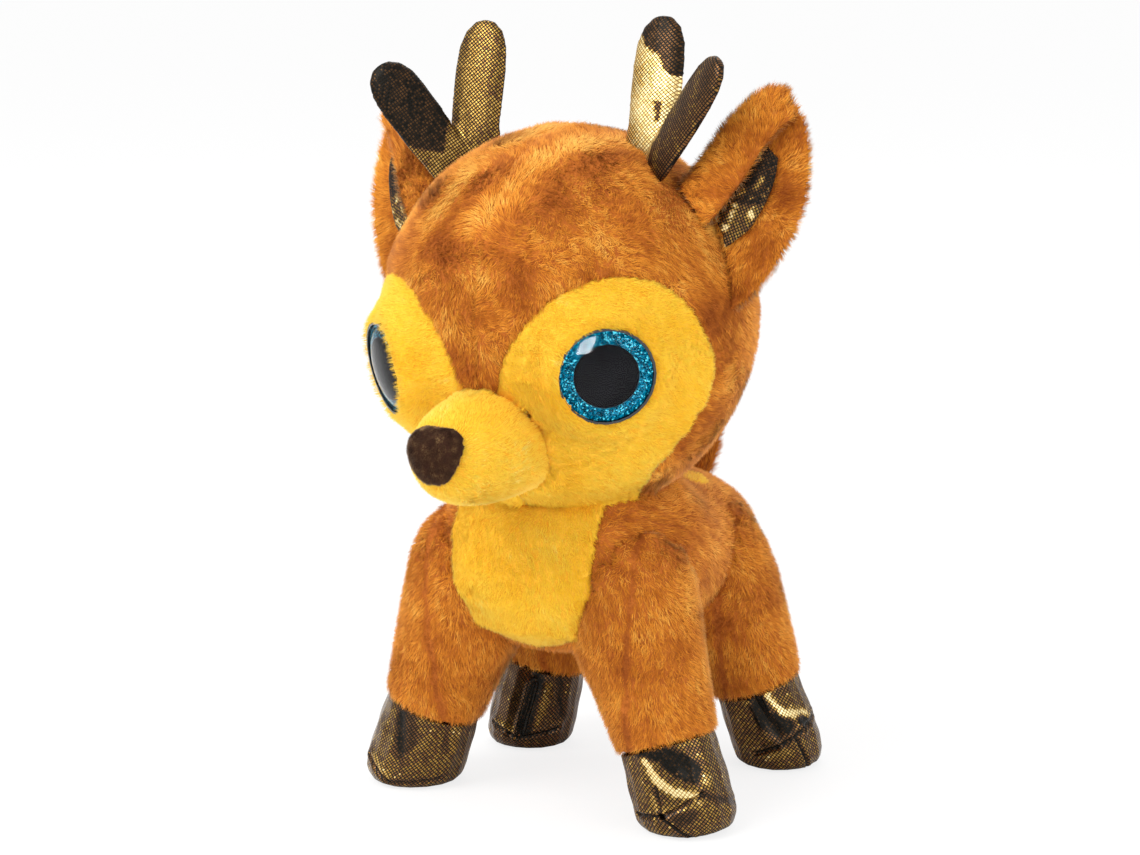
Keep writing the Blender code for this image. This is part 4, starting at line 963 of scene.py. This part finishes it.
cover = panel("muzzle_cover", "plush_muzzle", YELLOW, 0.8 * MM, keep=0.6)
grow("pile_muzzle", cover, "muzzle_cover", YELLOW, 23, (0, 1, 0.1), long=0.9, lean=60, swirl=0.5,
     tuft_light_and_shade=0.05, tone=0.58)
stands_for(cover, "muzzle_cover")

# %% [markdown]
# The nose is a little pad of dark flock, a pile so short that it looks like felt. The ears are folded
# leaves of the brown plush. Their pile is a little longer than the head's, which gives them their
# fuzzy outline, and it fans out from the middle to the edges, and up.

# %% Nose and ears
HEAD_COVERS = ("head_cover_left", "head_cover_right")
EAR_CLOTH = BROWN._replace(length=1.6 * MM)

nose = leaf("nose", "plush_nose", FLOCK, FLOCK.depth, 0.45 * MM, 0.2 * MM, smooth=8)
grow("pile_nose", nose, "nose", FLOCK, 29, (0, 0.3, -1), lean=35, swirl=0.9, swirl_length=2.5 * MM,
     contrast=0.16, tuft_light_and_shade=0.12, tone=0.48, depth=1.2 * MM)
stands_for(nose, "nose")

for word, way in SIDES:
    node = "ear_cover_" + word
    ear = leaf(node, "plush_ear_" + word, BROWN, 0.55 * MM, 0.6 * MM, 0.25 * MM, HEAD_COVERS, 2.0 * MM)
    grow("pile_ear_" + word, ear, node, EAR_CLOTH, 31,
         lambda roots: unit(roots - roots.mean(0)) + np.array((0.2 * way, 0.1, 0.4)),
         1.15, swirl=0.5, contrast=0.16, depth=1.6 * MM)
    stands_for(ear, node)

# %% [markdown]
# The trunk is two brown covers with a yellow chest panel between them. It is combed down and back.

# %% Body and chest
for word, way in SIDES:
    node = "body_cover_" + word
    cover = panel(node, "plush_body_" + word, BROWN)
    grow("pile_body_" + word, cover, node, BROWN, 41, (0, 0.7, -0.8), 0.60, wide=1.05, lean=52, swirl=0.7,
         tone=0.48)
    stands_for(cover, node)

cover = panel("chest_panel", "plush_chest", YELLOW, COVER_VOXEL * 0.9, keep=0.6)
grow("pile_chest", cover, "chest_panel", YELLOW, 43, (0.15, -0.2, -1), lean=55, swirl=0.5, contrast=0.13,
     tuft_light_and_shade=0.06)
stands_for(cover, "chest_panel")

# %% [markdown]
# Head and body are sewn together round the neck. A flat plush pad in the groove of that seam closes it,
# so that hardly any stuffing shows between them. Its hairs stay off the front, where the yellow panels
# meet.

# %% Neck
NECK_MIDDLE, NECK_SIZE = (0.0022, -0.0032, 0.0668), (0.0219, 0.0205, 0.0044)
NECK_TILT, NECK_FRONT = 3.1, 12 * MM
neck = ball("plush_neck", 64, 24)
neck.data.transform(
    Matrix.Translation(NECK_MIDDLE) @ Matrix.Rotation(-math.radians(NECK_TILT), 4, "Y")
    @ Matrix.Diagonal((*NECK_SIZE, 1)))
bpy.ops.object.shade_smooth()
paint(neck, BROWN.backing)
grow("pile_neck", neck, "body_cover_left", BROWN, 47, (0, 0.2, -0.6), long=1.3, lean=30, swirl=0.7,
     tone=0.42, depth=4.0 * MM, half=((0, NECK_MIDDLE[1] - NECK_FRONT, 0), (0, 1, 0)))
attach(neck, BODY_OF["body_cover_left"])
print("the neck pad is", round(2000 * NECK_SIZE[0], 1), "mm across")

# %% [markdown]
# Four stuffed legs, each wider at the shoulder or the haunch than at the hem, where the foil hoof is
# sewn on. The nap runs down to the hem and hangs a little over the foil. A seam runs down the front of
# each leg, and the hairs on it are short, with painted shade darkening them where the pile parts.

# %% Legs
SEAM_HALF_WIDTH = 0.70 * MM


def front_seam(node):
    """The rule for a leg's seam: 1 on the seam and 0 away from it."""
    middle, spread = spread_of(points_of(NODES[node]))
    side = unit(np.cross(spread[0], (0.12, -1, 0)))

    def strength(roots):
        off = (roots - middle) @ side
        off = off + 0.25 * MM * waves(roots, 9 * MM, 88)
        return np.exp(-(off / SEAM_HALF_WIDTH) ** 2) * (roots[:, 1] < middle[1])
    return strength


for i, word in enumerate(LEG_WORDS):
    node = "leg_" + word
    cover = panel(node, "plush_leg_" + word, BROWN)
    grow("pile_leg_" + word, cover, node, BROWN, 51 + i, (0, 0.05, -1), 0.9, 0.95, lean=52, swirl=0.55,
         contrast=0.09, tone=0.54, parting=front_seam(node))
    stands_for(cover, node)

# %% [markdown]
# The tail is a short flat leaf of plush that stands on the rump, and two thin yellow spots lie on the
# back.

# %% Tail and spots
TAIL_CLOTH = BROWN._replace(length=2.2 * MM)
BODY_COVERS = ("body_cover_left", "body_cover_right")
SPOT_SHARE, SPOT_SINK = 0.90, 0.85 * MM

tail = leaf("tail", "plush_tail", BROWN, 0.8 * MM, 0.6 * MM, 0.3 * MM, BODY_COVERS, 2.4 * MM)
grow("pile_tail", tail, "tail", TAIL_CLOTH, 61, (0, 0.35, 0.9), 0.8, lean=48, swirl=0.5, tone=0.36,
     model=LONG_HAIR, depth=2.0 * MM)
stands_for(tail, "tail")

for word, way in SIDES:
    node = "back_spot_" + word
    spot = lift(node, "plush_spot_" + word)
    reshape(spot, "SUBSURF", levels=1)
    points = points_of(spot)
    middle, spread = spread_of(points)
    out = spread[2] * np.sign(spread[2][2])
    put_points(spot, middle + (points - middle) * SPOT_SHARE - out * SPOT_SINK)
    bpy.ops.object.shade_smooth()
    paint(spot, YELLOW.backing)
    grow("pile_spot_" + word, spot, node, YELLOW, 71, (0, 0.8, -0.5), 1.2, 0.8, lean=52, contrast=0.05,
         tuft_light_and_shade=0.03, tone=0.35, depth=1.0 * MM)
    stands_for(spot, node)

# %% [markdown]
# Each hoof is a stuffed foil sock. It starts as a sphere, whose rings are laid one by one on the
# packed hoof: first the sole, then the wall, and the last rings go up into the plush sleeve, where the
# hem hides them. A ring is placed by rays that come in from the side.

# %% Laying a sphere's rings on a hoof
SOCK_TURNS, SOLE_RINGS, WALL_RINGS, TUCK_RINGS = 168, 10, 50, 5
HEM_TUCK, HEM_INSET = 3.0 * MM, 1.3 * MM
SOLE_ROUND, SOLE_LIFT = 2.6 * MM, 0.5 * MM
SOLE_GAP, RIM_GAP = 0.12 * MM, 0.35 * MM
RAY_START, RAY_TRIES = 0.03, 12


def set_painted_reflection(piece, values):
    """Stores the painted reflection at each point, 0 to 1: how brightly the foil is painted to shine."""
    layer = piece.data.attributes.new(PAINTED_REFLECTION, "FLOAT", "POINT")
    layer.data.foreach_set("value", np.clip(values, 0, 1).astype(np.float32))


def from_view(turn):
    """A turn about a hoof, measured from the side that the camera looks at."""
    return (turn - math.radians(AZIMUTH) + math.pi) % (2 * math.pi) - math.pi


def sock_form(node, relief):
    """A closed foil sock on a packed hoof, creased by a rule over its cloth, with its cloth's map."""
    hard = tree_of([NODES[node]])
    corners, sleeve = points_of(NODES[node]), points_of(NODES[node.replace("hoof", "leg")])
    axis = unit(sleeve[sleeve[:, 2] < corners[:, 2].max() + 12 * MM].mean(0) - corners.mean(0))
    for step in range(4):
        rim = corners[corners @ axis > (corners @ axis).max() - 2 * MM]
        axis = spread_of(rim)[1][2]
        axis = axis * np.sign(axis[2])
    top = (rim.max(0) + rim.min(0)) / 2
    radius = (rim.max(0) - rim.min(0))[:2].mean() / 2
    rings = SOLE_RINGS + WALL_RINGS + TUCK_RINGS + 1
    sock = ball("foil_" + node, SOCK_TURNS, rings)
    points = points_of(sock)
    turn = np.arctan2(points[:, 0], -points[:, 1])
    ring = np.rint(np.arccos(np.clip(-points[:, 2], -1, 1)) / np.pi * rings).astype(int)
    places, cloth = np.zeros((len(points), 3)), np.zeros((len(points), 2))

    def side(angle, share):
        """A point of the hoof's wall, at a share of the height up to its slanting rim."""
        way = np.array([math.sin(angle), -math.cos(angle), 0])
        rise = top[2] - (axis[:2] @ way[:2]) * radius / axis[2]
        height = SOLE_GAP + share * (rise - RIM_GAP)
        middle = top + axis * (height - top[2]) / axis[2]
        for step in range(RAY_TRIES):
            level = Vector((0, 0, step * (0.1 if share < 0.5 else -0.1) * MM))
            found = hard.ray_cast(Vector(middle + way * RAY_START) + level, Vector(-way), RAY_START)[0]
            if found is not None:
                break
        return way, middle, height, (np.array(found) - middle) @ way

    for i, (angle, level) in enumerate(zip(turn, ring)):
        if level == 0:
            places[i] = (*(top - axis * top[2] / axis[2])[:2], 0)
        elif level <= SOLE_RINGS:
            way, middle, height, far = side(angle, 0)
            share = level / (SOLE_RINGS + 1)
            places[i] = middle + way * far * share * 0.95
            places[i, 2] = SOLE_LIFT * share ** 5
            cloth[i] = angle * radius / MM, (share - 1) * far / MM
        elif level <= SOLE_RINGS + WALL_RINGS:
            way, middle, height, far = side(angle, (level - SOLE_RINGS - 1) / (WALL_RINGS - 1))
            low = max(0, 1 - height / SOLE_ROUND) ** 2
            crease = relief(from_view(angle) * radius / MM, height / MM) * MM
            places[i] = middle + way * (far * (1 - 0.05 * low) + crease)
            places[i, 2] = height + SOLE_LIFT * low
            cloth[i] = angle * radius / MM, height / MM
        else:
            share = min(1, (level - SOLE_RINGS - WALL_RINGS) / TUCK_RINGS)
            way, middle, height, far = side(angle, 1)
            inward = HEM_INSET * min(1, share * 3)
            places[i] = middle + way * (far - inward) + axis * HEM_TUCK * max(0, share - 0.1)
            cloth[i] = angle * radius / MM, (height + HEM_TUCK * share) / MM
            if level == rings:
                places[i] = top + axis * HEM_TUCK
    put_points(sock, places)
    step, about = DOT_PITCH * math.sqrt(2), 2 * math.pi * radius / MM
    whole = round(about / step) * step
    cloth[:, 0] *= whole / about
    chart = sock.data.uv_layers[0]
    chart.name = WEAVE_MAP
    for polygon in sock.data.polygons:
        across = cloth[list(polygon.vertices), 0]
        across = np.where(across < across.max() - whole / 2, across + whole, across)
        for loop, u, vertex in zip(polygon.loop_indices, across, polygon.vertices):
            chart.data[loop].uv = (u, cloth[vertex, 1])
    alone(sock)
    bpy.ops.object.shade_smooth()
    return sock, from_view(turn) * radius / MM, places[:, 2] / MM


print("a sock has", SOCK_TURNS * (SOLE_RINGS + WALL_RINGS + TUCK_RINGS) * 2, "triangles")

# %% [markdown]
# The foil creases where the sock's toe is sewn and turned: each crease is a line on the cloth, in
# millimetres from the side that the camera looks at and up from the floor. It is a sharp groove with
# a soft lip on each side, and its groove is painted dark as shade. Patches of painted reflection are
# lines too: bright ones are painted highlights and dark ones painted shade.

# %% Creases and painted reflections of the hooves
CREASES = {
    "front_left": (
        ((-4.8, 4.9), (4.4, 9.7), 0.42, 0.62), ((-4.8, 4.9), (-4.5, 10.8), 0.38, 0.45),
        ((-4.8, 4.9), (0.2, 0.0), 0.38, 0.60), ((-4.8, 4.9), (-12.0, 3.8), 0.38, 0.55),
        ((4.4, 9.7), (13.0, 6.0), 0.60, 0.30),
    ),
    "front_right": (
        ((-12.5, 6.2), (-5.0, 1.6), 0.40, 0.60), ((-5.0, 1.6), (6.0, 2.6), 0.40, 0.35),
        ((-7.0, 17.0), (-4.0, 8.0), 0.90, 0.30), ((3.0, 18.0), (5.0, 9.0), 1.00, 0.22),
    ),
    "hind_left": (
        ((-5.0, 4.2), (0.0, 6.1), 0.38, 0.55), ((0.0, 6.1), (7.0, 9.4), 0.38, 0.55),
        ((7.0, 9.4), (13.0, 11.6), 0.38, 0.50), ((4.6, 7.6), (5.9, 0.4), 0.36, 0.50),
        ((-1.5, 18.0), (1.0, 9.0), 1.10, 0.50),
    ),
    "hind_right": (
        ((-1.7, 15.5), (-2.3, 4.3), 0.55, 0.50), ((-10.0, 5.6), (-2.9, 3.2), 0.38, 0.50),
        ((-2.9, 3.2), (6.0, 5.0), 0.38, 0.45), ((4.0, 17.0), (6.0, 8.0), 0.90, 0.25),
    ),
}
# Painted reflections along lines: start, end, width and amount, a highlight if positive, shade if not.
PAINTED_REFLECTIONS = {
    "front_left": (
        ((0.2, 16.6), (3.4, 14.4), 2.3, -0.75), ((-6.6, 17.6), (-1.0, 17.2), 1.0, -0.60),
        ((-5.4, 16.0), (-3.7, 12.3), 0.85, 0.75), ((-3.7, 12.3), (-0.8, 10.2), 0.85, 0.80),
        ((-0.8, 10.2), (3.0, 9.6), 0.75, 0.70), ((5.2, 13.4), (5.8, 12.0), 0.9, 0.35),
        ((-4.0, 6.0), (3.4, 8.3), 0.55, 0.35), ((-5.6, 9.0), (-5.2, 6.5), 0.5, 0.30),
        ((-1.5, 4.6), (1.0, 5.6), 1.2, -0.30),
    ),
    "front_right": (
        ((-6.0, 17.5), (-3.5, 11.0), 2.2, -0.22), ((4.0, 17.0), (5.5, 9.0), 2.0, 0.08),
        ((-11.0, 6.4), (-5.5, 2.8), 0.7, 0.30),
    ),
    "hind_left": (
        ((-1.2, 19.0), (-0.6, 11.5), 1.8, -0.80), ((2.4, 12.4), (3.4, 10.6), 1.5, -0.60),
        ((1.6, 17.6), (3.6, 13.6), 0.75, 0.65), ((3.6, 13.6), (9.5, 12.4), 0.95, 0.60),
        ((-2.6, 16.0), (0.2, 12.8), 0.55, 0.55), ((7.6, 11.6), (8.2, 11.2), 1.1, -0.70),
        ((-3.0, 3.6), (2.0, 5.0), 0.8, 0.15),
    ),
    "hind_right": (
        ((-1.2, 17.0), (-1.8, 5.0), 1.6, -0.35), ((1.6, 15.0), (1.0, 7.0), 0.9, 0.22),
        ((-8.0, 6.0), (-4.0, 4.6), 0.8, 0.20),
    ),
}
LIP_HEIGHT, BUCKLE_HEIGHT = 0.45, 0.16
# How softly a painted reflection fades at its edge, and how much shade is painted into a crease.
PAINTED_REFLECTION_EDGE, CREASE_PAINTED_SHADE = 0.18, 0.45
# Each hoof's painted reflection where no line lies.
PLAIN_PAINTED_REFLECTION = {"front_left": 0.44, "front_right": 0.44, "hind_left": 0.42, "hind_right": 0.34}


def off_line(across, up, start, end):
    """How far a place on the cloth lies from a line, all in millimetres."""
    (x0, y0), (x1, y1) = start, end
    share = ((across - x0) * (x1 - x0) + (up - y0) * (y1 - y0)) / ((x1 - x0) ** 2 + (y1 - y0) ** 2)
    share = np.clip(share, 0, 1)
    return np.hypot(across - x0 - share * (x1 - x0), up - y0 - share * (y1 - y0))


def crease_relief(word):
    """The rule for one hoof's creases: how far its cloth stands in or out, in millimetres."""
    def relief(across, up):
        rise = 0.0
        for start, end, width, depth in CREASES[word]:
            off = off_line(across, up, start, end)
            lip = LIP_HEIGHT * math.exp(-((off / width - 2.0) / 1.1) ** 2)
            rise += depth * (lip - math.exp(-(off / width) ** 2))
        buckle = math.sin(across * 0.75 + up * 0.35) * math.sin(up * 0.55 - across * 0.2 + len(word))
        return rise + BUCKLE_HEIGHT * buckle * min(1, up / 4)
    return relief


for word in LEG_WORDS:
    node = "hoof_" + word
    hoof, across, up = sock_form(node, crease_relief(word))
    # Painted reflection: a plain level, lines of painted highlight and shade, and painted shade in creases.
    shine = np.full(len(up), PLAIN_PAINTED_REFLECTION[word])
    for start, end, width, amount in PAINTED_REFLECTIONS[word]:
        off = off_line(across, up, start, end) + 0.35 * np.sin(across * 3.1) * np.sin(up * 2.7)
        shine += amount / (1 + np.exp((off - width) / PAINTED_REFLECTION_EDGE))
    for start, end, width, depth in CREASES[word]:
        groove = np.exp(-(off_line(across, up, start, end) / width) ** 2)
        shine -= CREASE_PAINTED_SHADE * groove * min(1, depth * 2)
    set_painted_reflection(hoof, shine)
    paint(hoof, foil)
    stands_for(hoof, node)
print("hooves:", sum(len(lines) for lines in CREASES.values()), "creases")

# %% [markdown]
# The antlers are flat two-pronged leaves of the same foil, hardly stuffed, and the linings are foil
# strips in the fold of the ears. Their painted reflection is not alike all over: the near main prong
# is painted bright below a tip painted dark, and the side prongs are painted dull, as shade.

# %% Antlers and ear linings
ANTLER_FLATNESS = 0.92
ROOT_REACH = 2.0 * MM
SIDE_PRONG_FROM, PAINTED_DARK_TIP_FROM = 11.6, 31.5
LINING_SHARE, LINING_SHIFT, LINING_LEVEL, FLAP_LEVEL = 1.5, 1.8 * MM, 1.0 * MM, 0.9 * MM


def cloth_map(piece, place):
    """Gives a piece a map of its cloth, in millimetres, from a rule over its points."""
    chart = piece.data.uv_layers.new(name=WEAVE_MAP)
    where = place(points_of(piece)) / MM
    order = np.zeros(len(piece.data.loops), int)
    piece.data.loops.foreach_get("vertex_index", order)
    chart.data.foreach_set("uv", where[order].astype(np.float32).ravel())


def flat_map(points):
    """Cloth laid flat in the plane that the points spread in."""
    middle, spread = spread_of(points)
    return (points - middle) @ spread[:2].T


def press_flat(piece, share):
    """Thins a leaf towards its own middle plane."""
    points = points_of(piece)
    middle, spread = spread_of(points)
    put_points(piece, points - np.outer((points - middle) @ spread[2] * (1 - share), spread[2]))


def spread_lining(lining, ear, way):
    """Widens a lining outwards along the back fold of its ear, level with the pile there."""
    bed = tree_of([ear])
    points = points_of(lining)
    middle, (tall, wide, out) = spread_of(points)
    out, wide = out * -np.sign(out[1]), wide * np.sign(wide[0]) * way
    along, across, own = ((points - middle) @ axis for axis in (tall, wide, out))
    end = along / np.abs(along).max()
    across = across * LINING_SHARE * np.sqrt(1 - 0.75 * end ** 2) + LINING_SHIFT * (1 - 0.5 * end ** 2)
    place = middle + np.outer(along, tall) + np.outer(across, wide)
    levels = np.full(len(points), np.nan)
    for i, start in enumerate(place):
        hit = bed.ray_cast(Vector(start + out * (own[i] + 1.5 * MM)), Vector(-out), 6 * MM)[0]
        if hit is not None and (np.array(hit) - middle) @ out < own[i] + FLAP_LEVEL:
            levels[i] = (np.array(hit) - middle) @ out
    known = np.flatnonzero(~np.isnan(levels))
    for i in np.flatnonzero(np.isnan(levels)):
        levels[i] = levels[known[np.argmin(np.linalg.norm(place[known] - place[i], axis=1))]]
    upper = np.sign([v.normal @ Vector(out) for v in lining.data.vertices])
    put_points(lining, place + np.outer(levels + LINING_LEVEL + 0.2 * MM * upper, out))
    print("the lining found its bed at", len(known), "of", len(points), "points")


for word, way in SIDES:
    node = "antler_" + word
    antler = thinned(node, "foil_" + node, 0.1 * MM)
    soften(antler, 0.50 * MM, 0.20 * MM)
    press_flat(antler, ANTLER_FLATNESS)
    rooted(antler, HEAD_COVERS, ROOT_REACH)
    upright = np.array([[0.90 * way, -0.43, 0.10], [-0.06 * way, 0.30, 0.95]])
    cloth_map(antler, lambda points: points @ upright.T)
    out, up = points_of(antler) @ upright.T[:, 0] / MM, points_of(antler) @ upright.T[:, 1] / MM
    up, out = up - up.min(), out - out.min()
    side_prong = out > SIDE_PRONG_FROM
    streaks = waves(np.stack([out, up * 0.22, 0 * up], 1), 4.0, 83)
    painted_reflection_blotch = waves(np.stack([out, up * 0.7, 0 * up], 1), 7.0, 84)
    # The near antler is painted bright on its main prong, with painted dark streaks and a painted dark tip;
    # the far one has an even painted reflection and a side prong painted dark but for its root.
    if word == "left":
        tip = up + 0.70 * out + 1.2 * painted_reflection_blotch > PAINTED_DARK_TIP_FROM
        painted_dark_streak = (streaks > 0.42) & (up < 17) & (out > 2.5)
        main = np.where(tip, 0.16 + 0.10 * streaks, np.where(painted_dark_streak, 0.30, 0.86 + 0.07 * painted_reflection_blotch))
        side = 0.34 + 0.10 * streaks
    else:
        main = 0.50 + 0.04 * painted_reflection_blotch + 0.04 * streaks
        side = 0.07 + 0.06 * streaks + 0.40 * (up < 6)
    set_painted_reflection(antler, np.where(side_prong, side, main))
    paint(antler, foil_soft)
    stands_for(antler, node)

    node = "ear_lining_" + word
    lining = lift(node, "foil_" + node)
    reshape(lining, "SUBSURF", levels=2)
    spread_lining(lining, bpy.data.objects["plush_ear_" + word], way)
    bpy.ops.object.shade_smooth()
    cloth_map(lining, flat_map)
    points = points_of(lining)
    up = (points[:, 2] - points[:, 2].min()) / MM
    # The lining's painted reflection: dark above, brighter below, and spots of painted glint.
    set_painted_reflection(lining, 0.10 + 0.32 * (up < 9) + 0.60 * (waves(points, 2.4 * MM, 85) > 0.62))
    paint(lining, foil)
    stands_for(lining, node)
print("antlers pressed to", ANTLER_FLATNESS, "of their thickness")

# %% [markdown]
# The eye's glitter is a crowd of tiny foil flakes, each tilted its own way, set in teal lacquer. A
# Voronoi cell makes one flake, and its random number sets the flake's colour and its tilt.

# %% Eye finishes
glitter, tree, shader = finish("teal_glitter", Metallic=1.0, Roughness=0.3)
place = add(tree, "TexCoord")
flakes = add(tree, "TexVoronoi", [("Vector", place.outputs["Object"])], Scale=3400)
split = add(tree, "SeparateColor", [("Color", flakes.outputs["Color"])]).outputs
teal = colour_stops((0, 0, 26, 38), (0.45, 0, 66, 90), (0.84, 0, 116, 150), (0.96, 90, 214, 236))
link(tree, ramp(tree, split["Red"], *teal), shader.inputs["Base Color"])
roughen(tree, shader, split["Green"], 0.7, 0.2 * MM)

black = grainy("black_plastic", {"Scale": 700}, (0.3, 14, 14, 16), (0.7, 24, 24, 27),
               Roughness=0.25, Coat_Weight=0.3)[0]
pupil = grainy("pupil_black", {"Scale": 300}, (0.3, 3, 3, 4), (0.7, 9, 9, 11),
               Roughness=0.6, Specular_IOR_Level=0.0)[0]
clear = finish("clear_dome", Roughness=0.02, IOR=1.20, Transmission_Weight=1.0, Base_Color=WHITE)[0]
washer = grainy("washer_plastic", {"Scale": 500}, (0.3, 222, 222, 218), (0.7, 240, 240, 236),
                Roughness=0.5)[0]
EYE_PARTS = (
    ("backing", black, "black_plastic"), ("iris", glitter, "glitter_foil"), ("pupil", pupil, "pupil_black"),
    ("washer", washer, "white_plastic"),
)
for word, way in SIDES:
    for part, material, slot in EYE_PARTS:
        paint(NODES[f"eye_{part}_{word}"], material)
print("eye finishes on", len(EYE_PARTS) * len(SIDES), "pieces")

# %% [markdown]
# The clear dome is blown from a sphere: its cap is cut off with a plane, closed, and flattened to the
# height of the real one. Its flat side lies just inside the glitter and the pupil, as cast plastic
# does, with no air between. It casts no shadow, so that the lamps reach the glitter behind it. A card
# of light that shines on the domes alone gives them a small, sharp highlight.

# %% Eye domes
DOME_EDGE, SHARP_ANGLE = math.radians(62), math.radians(40)
DOME_SEAT = -0.10 * MM
CATCH_LIGHT = ("catch_light", 18.6, 24.5, 0.60, 22, 0.25, "RECTANGLE")
CATCH_HEIGHT = 0.42
domes = bpy.data.collections.new("eye_domes")
bpy.context.scene.collection.children.link(domes)
for word, way in SIDES:
    node = "eye_lens_" + word
    middle, axis, radius = EYES[word]
    high = ((points_of(NODES[node]) - np.array(middle)) @ np.array(axis)).max()
    dome = ball("eye_dome_" + word, 72, 48)
    with editing(dome):
        bpy.ops.mesh.bisect(
            plane_co=(0, 0, math.cos(DOME_EDGE)), plane_no=(0, 0, 1), clear_inner=True, use_fill=True)
        bpy.ops.mesh.select_all(action="SELECT")
        bpy.ops.mesh.normals_make_consistent(inside=False)
    wide, tall = radius * 0.985 / math.sin(DOME_EDGE), (high - DOME_SEAT) / (1 - math.cos(DOME_EDGE))
    turn = Vector(axis).to_track_quat("Z", "Y").to_matrix().to_4x4()
    dome.data.transform(
        Matrix.Translation(middle + axis * DOME_SEAT) @ turn @ Matrix.Diagonal((wide, wide, tall, 1))
        @ Matrix.Translation((0, 0, -math.cos(DOME_EDGE))))
    bpy.ops.object.shade_smooth_by_angle(angle=SHARP_ANGLE)
    dome.visible_shadow = False
    domes.objects.link(dome)
    paint(dome, clear)
    stands_for(dome, node)

lamp = shine_at(EYES["left"][0], *CATCH_LIGHT)
lamp.data.size_y = CATCH_HEIGHT
lamp.light_linking.receiver_collection = domes
print("eyes: two domes", round((high - DOME_SEAT) / MM, 2), "mm high")
